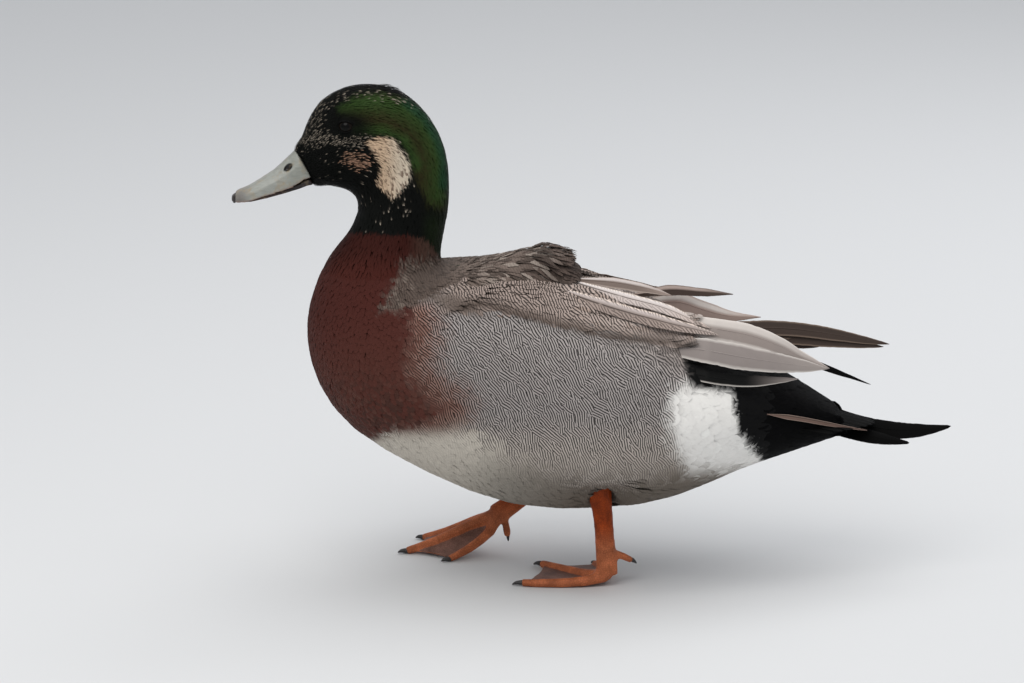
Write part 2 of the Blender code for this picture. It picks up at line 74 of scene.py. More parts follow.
# ---------------------------------------------------------------- small helpers
def in_parts(region, *names):
    """Which of the region numbers belong to the named nodes of flesh."""
    return np.isin(region, [FLESH.index(name) for name in names])


def smooth_step(low, high, value):
    t = np.clip((value - low) / (high - low), 0, 1)
    return t * t * (3 - 2 * t)


def unit(rows):
    return rows / np.maximum(np.linalg.norm(rows, axis=-1, keepdims=True), 1e-9)


def blend(low, high, amount):
    """Mixes two colours by one amount for each row. A colour may be given by its name."""
    low, high = (np.asarray(COLOURS[end] if isinstance(end, str) else end) for end in (low, high))
    amount = np.asarray(amount)[..., None]
    return low * (1 - amount) + high * amount


def layered(colour, *layers):
    """Lays colours over one another, each by its own amount."""
    for over, amount in layers:
        colour = blend(colour, over, amount)
    return colour


def curve_points(points, count):
    """Points spaced evenly along a smooth curve through the given ones."""
    points = np.array(points, float)
    padded = np.vstack((2 * points[0] - points[1], points, 2 * points[-1] - points[-2]))
    line = []
    for i in range(len(points) - 1):
        p0, p1, p2, p3 = padded[i : i + 4]
        t = np.linspace(0, 1, 20, endpoint=False)[:, None]
        line.append(
            0.5 * (2 * p1 + (p2 - p0) * t + (2 * p0 - 5 * p1 + 4 * p2 - p3) * t**2
                   + (3 * p1 - p0 - 3 * p2 + p3) * t**3)
        )
    line = np.vstack((*line, points[-1:]))
    steps = np.concatenate(([0], np.cumsum(np.linalg.norm(np.diff(line, axis=0), axis=1))))
    wanted = np.linspace(0, steps[-1], count)
    return np.stack([np.interp(wanted, steps, line[:, k]) for k in range(line.shape[1])], axis=1)


def object_of(name, data):
    obj = bpy.data.objects.new(name, data)
    bpy.context.scene.collection.objects.link(obj)
    return obj


def object_from_bmesh(name, bm):
    mesh = bpy.data.meshes.new(name)
    bm.to_mesh(mesh)
    bm.free()
    return object_of(name, mesh)


def with_modifiers_applied(obj):
    made = bpy.data.meshes.new_from_object(obj.evaluated_get(bpy.context.evaluated_depsgraph_get()))
    name = obj.name
    old = obj.data
    bpy.data.objects.remove(obj)
    bpy.data.meshes.remove(old)
    made.name = name
    return object_of(name, made)


def vertex_array(mesh, what="co"):
    values = np.empty(len(mesh.vertices) * 3, np.float32)
    mesh.vertices.foreach_get(what, values)
    return values.reshape(-1, 3).astype(float)


def loop_vertices(mesh):
    """The vertex at every face's corners."""
    corners = np.empty(len(mesh.loops), np.int32)
    mesh.loops.foreach_get("vertex_index", corners)
    return corners


def lay_map(mesh, name, places, corners):
    layer = mesh.uv_layers.new(name=name)
    layer.data.foreach_set("uv", places[corners].astype(np.float32).ravel())


def move_vertices(mesh, places):
    mesh.vertices.foreach_set("co", np.ascontiguousarray(places, np.float32).ravel())
    mesh.update()


def bmesh_of_nodes(names):
    """Copies of CAD nodes in one bmesh, with their loose triangles merged."""
    bm = bmesh.new()
    for name in names:
        bm.from_mesh(NODES[name].data)
    bmesh.ops.remove_doubles(bm, verts=bm.verts, dist=1e-6)
    return bm


def keep_largest(bm):
    """Leaves only the biggest connected shell of a bmesh."""
    unseen, shells = set(bm.verts), []
    while unseen:
        edge_of_search = [unseen.pop()]
        shell = list(edge_of_search)
        while edge_of_search:
            vert = edge_of_search.pop()
            for edge in vert.link_edges:
                other = edge.other_vert(vert)
                if other in unseen:
                    unseen.discard(other)
                    shell.append(other)
                    edge_of_search.append(other)
        shells.append(shell)
    shells.sort(key=len)
    for shell in shells[:-1]:
        bmesh.ops.delete(bm, geom=shell, context="VERTS")


def remeshed(name, bm, voxel, smoothing):
    """One closed smooth shell over the shapes in a bmesh."""
    obj = object_from_bmesh(name, bm)
    remesh = obj.modifiers.new("remesh", "REMESH")
    remesh.mode = "VOXEL"
    remesh.voxel_size = voxel * MM
    smooth = obj.modifiers.new("smooth", "SMOOTH")
    smooth.factor = 0.5
    smooth.iterations = smoothing
    obj = with_modifiers_applied(obj)
    shell = bmesh.new()
    shell.from_mesh(obj.data)
    keep_largest(shell)
    shell.to_mesh(obj.data)
    shell.free()
    return obj


def finish_piece(obj, materials, replaces=()):
    obj.data.materials.clear()
    for material in materials:
        obj.data.materials.append(material)
    obj.data.shade_smooth()
    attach(obj, "root")
    if replaces:
        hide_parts(*replaces)
    return obj


def set_attribute(mesh, name, kind, values):
    attribute = mesh.attributes.get(name) or mesh.attributes.new(name, kind, "POINT")
    key = "color" if kind == "FLOAT_COLOR" else "value"
    attribute.data.foreach_set(key, np.ascontiguousarray(values, np.float32).ravel())


def paint_vertices(mesh, colours, waves=None):
    set_attribute(mesh, "tint", "FLOAT_COLOR", np.hstack((colours, np.ones((len(colours), 1)))))
    if waves is not None:
        set_attribute(mesh, "wave", "FLOAT", waves)


# ---------------------------------------------------------------- markings
COLOURS = {  # linear red, green and blue
    "black": (0.0030, 0.0030, 0.0032),
    "hood": (0.0036, 0.0042, 0.0036),
    "crown": (0.0045, 0.0041, 0.0040),
    "green": (0.027, 0.054, 0.013),
    "teal": (0.006, 0.042, 0.019),
    "bronze": (0.026, 0.024, 0.008),
    "cream": (0.60, 0.435, 0.295),
    "speck": (0.36, 0.31, 0.25),
    "buff": (0.34, 0.20, 0.135),
    "maroon": (0.060, 0.0150, 0.0110),
    "maroon_low": (0.090, 0.030, 0.022),
    "rust": (0.130, 0.068, 0.052),
    "scarf": (0.088, 0.066, 0.055),
    "flank": (0.190, 0.174, 0.168),
    "flank_low": (0.285, 0.252, 0.225),
    "belly": (0.56, 0.515, 0.445),
    "vent": (0.30, 0.255, 0.210),
    "white": (0.86, 0.845, 0.81),
    "mantle": (0.155, 0.120, 0.102),
    "hump": (0.086, 0.063, 0.053),
    "scapular": (0.190, 0.152, 0.134),
    "scapular_rear": (0.31, 0.258, 0.232),
    "rump": (0.20, 0.17, 0.155),
    "cream_rear": (0.64, 0.55, 0.43),
    "fleck": (0.10, 0.055, 0.040),
    "shadow": (0.075, 0.056, 0.046),
    "scarf_pale": (0.26, 0.215, 0.18),
    "scarf_dark": (0.060, 0.045, 0.037),
    "nape_brown": (0.082, 0.048, 0.036),
    "breast_dark": (0.040, 0.026, 0.020),
    "breast_pale": (0.17, 0.115, 0.088),
    "rump_pale": (0.50, 0.43, 0.39),
    "rump_dark": (0.09, 0.066, 0.055),
    "scapular_pale": (0.50, 0.44, 0.405),
    "scapular_drab": (0.20, 0.15, 0.125),
    "shoulder": (0.125, 0.098, 0.083),
    "mantle_dark": (0.055, 0.042, 0.035),
    "mantle_edge": (0.36, 0.31, 0.27),
    "foot": (0.50, 0.150, 0.062),
    "shank": (0.335, 0.050, 0.006),
    "web": (0.16, 0.100, 0.085),
    "bill": (0.285, 0.295, 0.270),
    "bill_root": (0.23, 0.24, 0.21),
    "bill_tip": (0.140, 0.125, 0.115),
    "bill_ridge": (0.20, 0.20, 0.18),
    "bill_edge": (0.20, 0.105, 0.08),
    # painted shade: the lower bill, in the upper bill's shadow, is painted near black and less dark towards
    # its tip
    "bill_under": (0.014, 0.008, 0.007),
    "bill_under_tip": (0.09, 0.045, 0.035),
    # painted shade: near black in the nostrils' openings, which are only shallow hollows
    "nostril_shade": (0.002, 0.002, 0.002),
    "nail": (0.02, 0.02, 0.02),
}
PATCHES = {  # outlines on the leaning plane: x, height
    "hood": (
        (-240, 330), (-60, 330), (-76, 182), (-91, 189), (-98, 198), (-107, 201), (-144, 203), (-240, 206),
    ),
    "green": (
        (-151, 277), (-140, 285), (-124, 286.5), (-107, 281.5), (-97, 273), (-90, 263), (-86, 247),
        (-85.5, 233), (-88, 217), (-97, 219), (-103, 231), (-106.3, 238.6), (-109, 251), (-117, 260),
        (-128, 261.5), (-140, 261.5), (-144, 264), (-139, 269), (-150, 274),
    ),
    "crescent": (
        (-124.7, 260.2), (-118.3, 258.6), (-111.6, 249.6), (-108.4, 240.4), (-108.8, 234.9), (-113.6, 227.5),
        (-117.6, 223.6), (-122.8, 226.6), (-128.3, 232.1), (-126.6, 238.6), (-125.8, 244.1), (-129.6, 250),
        (-134, 255.5), (-132, 258.4),
    ),
    "maroon": (
        (-240, 225), (-80, 225), (-80, 196), (-88, 190), (-101, 187), (-113, 187), (-117, 174),
        (-127, 156), (-107, 158), (-106, 142), (-110, 122), (-101, 108), (-88, 99), (-97, 90), (-118, 86),
        (-131, 80), (-240, 60),
    ),
    "scarf": (
        (-145, 150), (-132, 180), (-120, 205), (-60, 205), (-60, 178), (-88, 169), (-104, 160.5),
        (-118, 148),
    ),
    "belly": (
        (-240, 88), (-131, 82), (-118, 88), (-98, 88), (-82, 89), (-64, 79), (-51, 70), (-25, 58), (-4, 54),
        (24, 54), (44, 60), (60, 70), (100, 70), (100, -60), (-240, -60),
    ),
    "white": (
        (55, 112), (120, 112), (120, 60), (58, 62), (49, 76), (45, 92), (48, 107),
    ),
    "stern": (
        (52, 134), (59, 111), (83, 110.5), (85, 95), (88, 82), (97, 72.5), (102, 66), (112, 40), (260, 40),
        (260, 150), (150, 150), (75, 170), (60, 140),
    ),
}
HEAD_LINES = {  # soft markings follow these lines on the same plane
    "shine": ((-150, 279), (-136, 281), (-124, 281), (-108, 275), (-97, 264), (-91, 248), (-91, 226)),
    "shine_low": ((-140, 263.5), (-124, 263), (-112, 257), (-105, 244)),
    "teal": ((-110, 281), (-99, 272), (-91, 258), (-87.5, 246), (-88, 232)),
    "dark_rim": ((-124, 289), (-104, 285), (-91, 268), (-84, 247), (-84, 210)),
    "forehead": ((-173, 259), (-168, 270), (-158, 281), (-144, 286), (-124, 284.5), (-108, 280)),
    "lores": ((-173, 259), (-158, 259.5), (-144, 257), (-133, 256.5)),
}
# where the mantle overlaps the folded wing: a line of painted shadow in the crack
WING_GAP_SHADOW = ((-54, 178.5), (-46, 180), (-32, 178), (-18, 174))
EYE_PLACE = (-147.7, 268.0)
WING_EDGE = ((-88, 154), (-67, 160), (-43, 153), (-25, 148), (11, 140), (47, 136), (62, 130))


GRID_X, GRID_W = np.arange(-245.0, 265.0), np.arange(-65.0, 335.0)
GRIDS = {}  # distances to each patch's edge, once they are worked out


def near_line(points, x, w):
    """Distance to a line of points on the leaning plane."""
    nearest = np.full(x.shape, 1e9)
    for (ax, aw), (bx, bw) in zip(points, points[1:]):
        run_x, run_w = bx - ax, bw - aw
        t = np.clip(((x - ax) * run_x + (w - aw) * run_w) / (run_x**2 + run_w**2), 0, 1)
        nearest = np.minimum(nearest, np.hypot(x - ax - t * run_x, w - aw - t * run_w))
    return nearest


def edge_distance(outline, x, w):
    """Signed distance to the edge of a closed outline, above 0 inside it."""
    closed = (*outline, outline[0])
    crossings = np.zeros(x.shape, int)
    for (ax, aw), (bx, bw) in zip(closed, closed[1:]):
        if bw != aw:
            crossings += ((aw > w) != (bw > w)) & (x < ax + (w - aw) * (bx - ax) / (bw - aw))
    nearest = near_line(closed, x, w)
    return np.where(crossings % 2 == 1, nearest, -nearest)


def inside(name, x, w):
    """Signed distance to a patch's edge, read from a 1 mm grid."""
    if name not in GRIDS:
        GRIDS[name] = edge_distance(PATCHES[name], *np.meshgrid(GRID_X, GRID_W, indexing="ij"))
    grid = GRIDS[name]
    u = np.clip(x - GRID_X[0], 0, len(GRID_X) - 1.001)
    v = np.clip(w - GRID_W[0], 0, len(GRID_W) - 1.001)
    i, j = u.astype(int), v.astype(int)
    u, v = u - i, v - j
    near = grid[i, j] * (1 - v) + grid[i, j + 1] * v
    far = grid[i + 1, j] * (1 - v) + grid[i + 1, j + 1] * v
    return near * (1 - u) + far * u


def cover(name, x, w, soft, wander=0.0):
    """How far a patch covers each point, from 0 to 1 across a soft edge."""
    return smooth_step(-soft, soft, inside(name, x, w) + wander)


def fade(low, high, value, amount):
    return smooth_step(low, high, value) * amount


def leaning_plane(points):
    return points[:, 0], points[:, 2] * math.cos(HIGH_VIEW) - np.abs(points[:, 1]) * math.sin(HIGH_VIEW)


def head_colours(x, w, chance, wander, tip):
    """Hood, crescent and specks. chance is a random number for each feather and tip tells how
    near a place is to its feather's end, both from 0 to 1."""
    near = {name: near_line(line, x, w) for name, line in HEAD_LINES.items()}
    green = cover("green", x, w, 3.2, wander)
    shine = np.clip(1.15 - np.minimum(near["shine"], near["shine_low"] * 1.6) / 9 + wander * 0.12, 0, 1)
    sheen = layered(
        "bronze",
        ("green", shine),
        ("teal", smooth_step(6, 1, near["teal"]) * 0.75),
        ("hood", smooth_step(14, 5, np.hypot((x + 146) / 1.5, w - 265)) * 0.85),  # behind the eye
    )

    cheek = np.hypot((x + 139.5) / 10.5, (w - 246) / 6.5)
    throat = np.hypot((x + 119) / 14, (w - 216) / 8)
    eyebrow = smooth_step(-156, -163, x) * smooth_step(250, 258, w)
    speck = np.maximum.reduce((
        fade(5.0, 0.5, near["forehead"], 0.26),
        fade(6.5, 1.0, near["lores"], 0.66),
        0.48 * eyebrow,
        fade(1.25, 0.3, throat, 0.10),
        fade(1.7, 0.6, cheek, 0.20),
        fade(-100, -115, x, 0.025) * (1 - green),
    ))
    speck *= 1 - smooth_step(10, 6.5, np.hypot(x - EYE_PLACE[0], w - EYE_PLACE[1]))
    is_speck = (chance < speck) * smooth_step(0.72, 0.90, tip)
    speck_light = np.where((chance * 977) % 1 < 0.42, 0.95, 0.42)
    is_buff = (chance < fade(1.3, 0.2, cheek, 0.72)) * smooth_step(0.3, 0.7, tip)
    buff_light = np.where((chance * 577) % 1 < 0.5, 1.0, 0.6)

    fleck = (chance > 0.90 - fade(250, 226, w, 0.20)) * smooth_step(0.45, 0.8, tip)
    rim = smooth_step(4.0, 0.5, inside("crescent", x, w))
    fleck = np.maximum(fleck, (chance > 0.80) * rim * smooth_step(0.4, 0.8, tip))
    cream = layered("cream", ("cream_rear", smooth_step(-126, -112, x)), ("fleck", fleck * 0.8))
    return layered(
        "hood",
        ("crown", smooth_step(0, 6, w + 0.10 * x - 273)),
        (sheen, green),
        ("black", smooth_step(3.4, 0.2, near["dark_rim"]) * 0.9),
        ("green", smooth_step(222, 206, w) * smooth_step(-104, -94, x) * 0.2),  # the nape
        ("speck", is_speck * speck_light),
        ("buff", is_buff * buff_light),
        (cream, cover("crescent", x, w, 0.9, wander * 1.1)),
    )


def breast_colours(x, w, chance, tip):
    """Maroon, paler below and brown on the nape, with dark and pale tips low down."""
    breast = blend("maroon", "maroon_low", smooth_step(165, 110, w) * 0.9)
    lower = smooth_step(135, 96, w)
    return layered(
        breast * (1 - fade(178, 196, w, 0.35))[:, None],
        ("nape_brown", smooth_step(-112, -98, x) * smooth_step(180, 190, w) * 0.8),
        ("breast_dark", (chance < 0.34) * lower * 0.45 * smooth_step(0.3, 0.7, tip)),
        ("breast_pale", (chance > 0.80) * lower * 0.16 * smooth_step(0.5, 0.9, tip)),
    )


def mantle_colours(x, chance):
    """Brown loose feathers, some of them darker and some pale-edged."""
    return layered(
        "mantle",
        ("hump", smooth_step(-50, -26, x) * 0.9),
        ("scarf", smooth_step(-72, -94, x)),
        ("mantle_dark", (chance < 0.25) * 0.7),
        ("mantle_edge", (chance > 0.76) * fade(-80, -50, x, 0.6) * smooth_step(-14, -34, x)),
    )


def plumage(points, region, chance, wander, tip):
    """Colour and strength of the fine waves at each point of the plumage."""
    x, w = leaning_plane(points)
    wing, trunk = in_parts(region, *WINGS), in_parts(region, "trunk")

    belly = cover("belly", x, w, 9, wander * 3)
    pale = blend("belly", "vent", smooth_step(-70, 0, x))
    # painted shade: the belly darker low down and towards the rear, where the underside is shaded
    pale = pale * (1 - fade(84, 52, w, 0.50) * smooth_step(-100, -45, x))[:, None]
    white = cover("white", x, w, 7.5, wander * 2)
    rust = smooth_step(-28, -3, inside("maroon", x, w) + wander * 2) * smooth_step(-128, -112, x)
    rust *= smooth_step(168, 156, w) * smooth_step(78, 90, w)
    scarf = cover("scarf", x, w, 2.6, wander * 1.5)
    streaky = layered("scarf", ("scarf_pale", (chance > 0.8) * 0.25), ("scarf_dark", (chance < 0.2) * 0.5))
    open_edge = smooth_step(-122, -110, x) * smooth_step(158, 148, w) * smooth_step(94, 104, w)
    maroon = inside("maroon", x, w) + wander * (2.0 + 1.2 * open_edge)
    maroon = smooth_step(0, 1, maroon / (3.5 + 5.5 * open_edge) / 2 + 0.5)
    back = smooth_step(58, 34, np.abs(points[:, 1])) * smooth_step(128, 145, points[:, 2])
    back *= smooth_step(-20, 5, x)
    streaks = layered("rump", ("rump_pale", (chance > 0.55) * 0.5), ("rump_dark", (chance < 0.25) * 0.5))
    waves = (1 - 0.45 * smooth_step(86, 58, w)) * (1 - 0.94 * belly) * (1 - smooth_step(0.0, 0.75, white))
    waves *= 1 - 0.97 * maroon
    waves = np.where(scarf > 0.3, np.minimum(waves, 0.30), waves) * (1 - 0.8 * back)

    over = w - np.interp(x, *np.transpose(WING_EDGE))
    streak = (chance < fade(0, 30, x, 0.38) * smooth_step(10, 17, over)).astype(float)
    drab = ((chance > 0.80) & (x > -10)) * smooth_step(4, 10, over)
    folded = layered(
        "scapular",
        ("scapular_rear", smooth_step(-50, 60, x)),
        ("scapular_pale", streak * 0.6),
        ("scapular_drab", drab * 0.6),
    )
    on_wing = (wing | (trunk & (over > 0.5) & (x < 0))) * smooth_step(-98, -80, x)
    shoulder = np.hypot((x + 82 + (w - 161) * 0.8) / 17, (w - 161 + (x + 82) * 0.22) / 6.5)
    shoulder = smooth_step(1.25, 0.3, shoulder)
    shaded = smooth_step(8.5, 0.3, over) * smooth_step(-1.0, 0.4, over)
    shaded = shaded * smooth_step(-92, -74, x) * smooth_step(74, 56, x)
    # painted shadow: a black line in the crack between the mantle and the folded wing
    gap = smooth_step(1.7, 0.4, near_line(WING_GAP_SHADOW, x, w)) * wing
    wing_waves = 0.85 - 0.50 * smooth_step(10, 50, x) - 0.3 * streak
    waves = waves * (1 - on_wing) + wing_waves * on_wing
    waves = waves * (1 - 0.8 * shoulder) * (1 - 0.55 * shaded)
    colour = layered(
        "flank",
        ("flank_low", smooth_step(100, 64, w)),
        (pale, belly),
        ("white", white),
        ("rust", rust * 0.92),
        (streaky, scarf),
        (streaks, back * 0.95),
        (folded, on_wing),
        ("shoulder", shoulder * 0.8),
        ("shadow", shaded * 0.85),
        # the painted shadow in the crack under the mantle
        ("black", gap * 0.9),
    )

    under = np.interp(x, (-104, -90, -71, -51, -19), (163, 170, 177, 179.6, 175))
    upper = (trunk | wing) & (w + wander * 1.2 > under) & (x > -106) & (x < -19)
    upper |= in_parts(region, "mantle")
    colour = np.where(upper[:, None], mantle_colours(x, chance), colour)
    waves = np.where(upper, 0.12, waves)

    black = cover("stern", x, w, 0.7, wander * 0.25) * (1 - on_wing * smooth_step(134, 142, w))
    hood = cover("hood", x, w, 0.8, wander * 0.8) * (points[:, 2] > 180) * (x < -80)
    colour = layered(
        colour,
        (breast_colours(x, w, chance, tip), maroon),
        ("black", black),
        (head_colours(x, w, chance, wander, tip), hood),
    )
    return colour, waves * (1 - 0.97 * maroon) * (1 - black) * (1 - hood)


# ---------------------------------------------------------------- materials
def new_material(name):
    """A material, its node tree and its shader."""
    material = bpy.data.materials.new(name)
    material.use_nodes = True
    tree = material.node_tree
    return material, tree, tree.nodes["Principled BSDF"]


def fill(tree, node, inputs):
    """Fills a node's inputs from values or other sockets."""
    for key, value in inputs.items():
        if isinstance(value, bpy.types.NodeSocket):
            tree.links.new(value, node.inputs[key])
        else:
            node.inputs[key].default_value = value


def add_node(tree, kind, inputs, **settings):
    node = tree.nodes.new("ShaderNode" + kind)
    for key, value in settings.items():
        setattr(node, key, value)
    fill(tree, node, inputs)
    return node


def calculate(tree, operation, first, second=0.0, third=0.0):
    return add_node(tree, "Math", {0: first, 1: second, 2: third}, operation=operation).outputs[0]


def combine(tree, operation, first, second=(0, 0, 0), output=0):
    """The result of some sum on vectors."""
    return add_node(tree, "VectorMath", {0: first, 1: second}, operation=operation).outputs[output]


def scaled(tree, colour, strength):
    return add_node(tree, "VectorMath", {0: colour, "Scale": strength}, operation="SCALE").outputs[0]


def mixed(tree, amount, low, high):
    """A mix of two colours."""
    return add_node(tree, "Mix", {0: amount, 6: low, 7: high}, data_type="RGBA").outputs[2]


def mapped(tree, value, low, high, start=0.0, end=1.0):
    """Maps a value between start and end to one between low and high."""
    inputs = {"Value": value, "From Min": start, "From Max": end, "To Min": low, "To Max": high}
    return add_node(tree, "MapRange", inputs).outputs[0]


def ramp(tree, value, stops):
    """Maps a value to greys through the given stops."""
    node = add_node(tree, "ValToRGB", {0: value})
    elements = node.color_ramp.elements
    while len(elements) < len(stops):
        elements.new(0.5)
    for element, (place, grey) in zip(elements, stops):
        element.position = place
        element.color = (grey, grey, grey, 1)
    return node.outputs[0]


def own_tint(tree):
    return add_node(tree, "Attribute", {}, attribute_name="tint").outputs["Color"]


def own_place(tree):
    return add_node(tree, "TexCoord", {}).outputs["Object"]


def noise_at(tree, place, scale, detail, roughness=0.5):
    inputs = {"Vector": place, "Scale": scale, "Detail": detail, "Roughness": roughness}
    return add_node(tree, "TexNoise", inputs)


def dress(tree, shader, colour, roughness, specular, height=None, bump=0.0, others=()):
    """Fills the shader's inputs; a height bumps its surface by up to bump mm."""
    fill(tree, shader, {"Base Color": colour, "Roughness": roughness, "Specular IOR Level": specular})
    fill(tree, shader, dict(others))
    if bump:
        inputs = {"Height": height, "Distance": bump * MM, "Strength": 1.0}
        fill(tree, shader, {"Normal": add_node(tree, "Bump", inputs).outputs[0]})


WAVE_LENGTH = 1.42  # of the fine lines on the plumage, in mm
BAND_STEP = 0.314  # a wave texture's bands lie this far apart at scale 1


def plumage_material(name, roughness, specular, barbed=True):
    """Feathers painted by their tint, with fine wavy lines where wave says so, and barbs."""
    material, tree, shader = new_material(name)
    wave = add_node(tree, "Attribute", {}, attribute_name="wave").outputs["Fac"]
    place = own_place(tree)
    wobble = scaled(tree, noise_at(tree, place, 260.0, 1.0).outputs[1], 0.0032)
    uneven = combine(tree, "ADD", place, wobble)
    cells = add_node(tree, "TexVoronoi", {"Vector": uneven, "Scale": 165.0})
    chance = add_node(tree, "SeparateXYZ", {0: cells.outputs["Color"]}).outputs[0]
    height = add_node(tree, "SeparateXYZ", {0: cells.outputs["Position"]}).outputs[2]
    turn = calculate(tree, "MULTIPLY_ADD", chance, 0.9, -0.45)
    turn = calculate(tree, "ADD", turn, mapped(tree, height, 0.12, 0.62, 0.060, 0.125))
    turned = add_node(tree, "VectorRotate", {"Vector": place, "Angle": turn}, rotation_type="Y_AXIS")
    lines = add_node(
        tree, "TexWave",
        {"Vector": turned.outputs[0], "Scale": BAND_STEP / (WAVE_LENGTH * MM), "Distortion": 4.0,
         "Detail": 1.5, "Detail Scale": 0.55, "Detail Roughness": 0.5},
        wave_type="BANDS", bands_direction="X",
    )
    pale_line = ramp(tree, lines.outputs[1], ((0.0, 0.0), (0.22, 0.05), (0.62, 0.9), (1.0, 1.0)))
    dark = calculate(tree, "MULTIPLY_ADD", wave, -0.93, 1.0)
    light = calculate(tree, "MULTIPLY_ADD", wave, 1.05, 1.0)
    lined = scaled(tree, own_tint(tree), mapped(tree, pale_line, dark, light))

    vane = add_node(tree, "UVMap", {}, uv_map="vane").outputs[0]
    parts = add_node(tree, "SeparateXYZ", {0: vane})
    across = calculate(tree, "ABSOLUTE", calculate(tree, "MULTIPLY_ADD", parts.outputs[0], 2.0, -1.0))
    slant = calculate(tree, "MULTIPLY_ADD", across, 0.35, parts.outputs[1])
    barb = calculate(tree, "SINE", calculate(tree, "MULTIPLY", slant, 170.0))
    deep = 0.03 if barbed else 0.0
    fresh = scaled(tree, lined, calculate(tree, "MULTIPLY_ADD", barb, deep, 1 - deep))
    dress(tree, shader, fresh, roughness, specular, barb, 0.02 if barbed else 0.0)
    return material


def skin_material():
    """The down under the feathers: the feathers' tint, a little darker, with a soft mottle."""
    material, tree, shader = new_material("down_skin")
    noise = noise_at(tree, own_place(tree), 700.0, 3.0).outputs[0]
    down = scaled(tree, own_tint(tree), mapped(tree, noise, 0.45, 0.9))
    dress(tree, shader, down, 0.9, 0.1, noise, 0.4)
    return material


def leg_material():
    """Painted legs under a fine net of scales, darker in the folds and here and there dusky."""
    material, tree, shader = new_material("leg_skin")
    place = own_place(tree)
    cells = add_node(tree, "TexVoronoi", {"Vector": place, "Scale": 750.0}, feature="DISTANCE_TO_EDGE")
    soft = noise_at(tree, place, 120.0, 4.0).outputs[0]
    groove = ramp(tree, cells.outputs[0], ((0.0, 0.62), (0.14, 0.92), (0.5, 1.0)))
    shade = calculate(tree, "MULTIPLY", groove, mapped(tree, soft, 0.62, 1.25, 0.3, 0.7))
    dress(tree, shader, scaled(tree, own_tint(tree), shade), 0.5, 0.14, groove, 0.22,
          {"Subsurface Weight": 0.05, "Subsurface Radius": (0.002, 0.0008, 0.0004)})
    return material


def bill_material():
    """Painted horn with buff stains and fine lengthwise grain."""
    material, tree, shader = new_material("bill_horn")
    place = own_place(tree)
    stretched = add_node(tree, "Mapping", {"Vector": place, "Rotation": (0, math.radians(32), 0),
                                           "Scale": (0.35, 1.0, 1.0)})
    grain = noise_at(tree, stretched.outputs[0], 620.0, 5.0, 0.6).outputs[0]
    stain = noise_at(tree, place, 170.0, 4.0, 0.62).outputs[0]
    amount = ramp(tree, stain, ((0.0, 0.0), (0.52, 0.0), (0.70, 0.55), (1.0, 0.8)))
    stained = mixed(tree, amount, own_tint(tree), (0.29, 0.215, 0.12, 1))
    painted = scaled(tree, stained, mapped(tree, grain, 0.86, 1.08, 0.3, 0.7))
    dress(tree, shader, painted, mapped(tree, grain, 0.28, 0.5), 0.45, grain, 0.10,
          {"Subsurface Weight": 0.08, "Subsurface Radius": (0.001, 0.0008, 0.0006)})
    return material


def horn_material(name, colour, roughness, specular=0.4):
    """Dark horn with growth lines."""
    material, tree, shader = new_material(name)
    noise = noise_at(tree, own_place(tree), 900.0, 3.0).outputs[0]
    pale = (*[c * 2.6 for c in colour], 1)
    worn = mixed(tree, ramp(tree, noise, ((0.4, 0.0), (0.8, 0.6))), (*colour, 1), pale)
    dress(tree, shader, worn, roughness, specular, noise, 0.05)
    return material


def eye_material(centre, facing):
    """A dark brown iris round a black pupil, under a wet surface."""
    material, tree, shader = new_material("wet_eye")
    place = own_place(tree)
    offset = combine(tree, "SUBTRACT", place, tuple(centre))
    ray = combine(tree, "NORMALIZE", offset)
    dot = combine(tree, "DOT_PRODUCT", ray, tuple(facing), "Value")
    fibres = noise_at(tree, place, 1500.0, 2.0).outputs[0]
    iris = mixed(tree, fibres, (0.004, 0.003, 0.002, 1), (0.009, 0.006, 0.004, 1))
    pupil = ramp(tree, dot, ((0.84, 1.0), (0.88, 0.0)))
    dress(tree, shader, mixed(tree, pupil, (0.002, 0.002, 0.002, 1), iris), 0.10, 0.10)
    return material


# ---------------------------------------------------------------- the skin
def node_regions():
    """A tree over the CAD flesh that tells which node a place belongs to."""
    places, faces, owners = [], [], []
    for index, name in enumerate(FLESH):
        mesh = NODES[name].data
        start = len(places)
        places.extend(v.co.copy() / MM for v in mesh.vertices)
        for polygon in mesh.polygons:
            faces.append([start + v for v in polygon.vertices])
            owners.append(index)
    return BVHTree.FromPolygons(places, faces), np.array(owners)


def regions_at(points):
    return np.array([REGION_OWNERS[REGION_TREE.find_nearest(Vector(p))[2]] for p in points])


def spine_place(points):
    """Distance along the spine, the angle round it and the smoothed direction of the spine."""
    line = np.zeros((len(SPINE_LINE), 3))
    line[:, 0], line[:, 2] = SPINE_LINE[:, 0], SPINE_LINE[:, 1]
    tangents = unit(np.gradient(line, axis=0))
    offset = points[:, None, :] - line[None]
    distance = np.linalg.norm(offset, axis=2)
    weight = 1 / (distance**2 + 16) ** 3
    weight /= weight.sum(axis=1, keepdims=True)
    along = weight @ np.linspace(0, 1, len(line))
    direction = unit(weight @ tangents)
    nearest = offset[np.arange(len(points)), distance.argmin(axis=1)]
    upward = np.cross(direction, np.tile((0.0, -1.0, 0.0), (len(points), 1)))
    angle = np.arctan2(nearest[:, 1], (nearest * upward).sum(axis=1))
    return along, angle, direction


def coat_depth(points, region):
    """How far the skin lies under the tips of the coat."""
    from_bill = np.linalg.norm(points - BILL_ROOT, axis=1)
    depth = np.where(in_parts(region, "neck"), np.interp(points[:, 2], (190, 225), (2.2, 1.3)), 2.3)
    return np.where(in_parts(region, "head"), np.interp(from_bill, (6, 40, 80), (0.5, 0.9, 1.3)), depth)


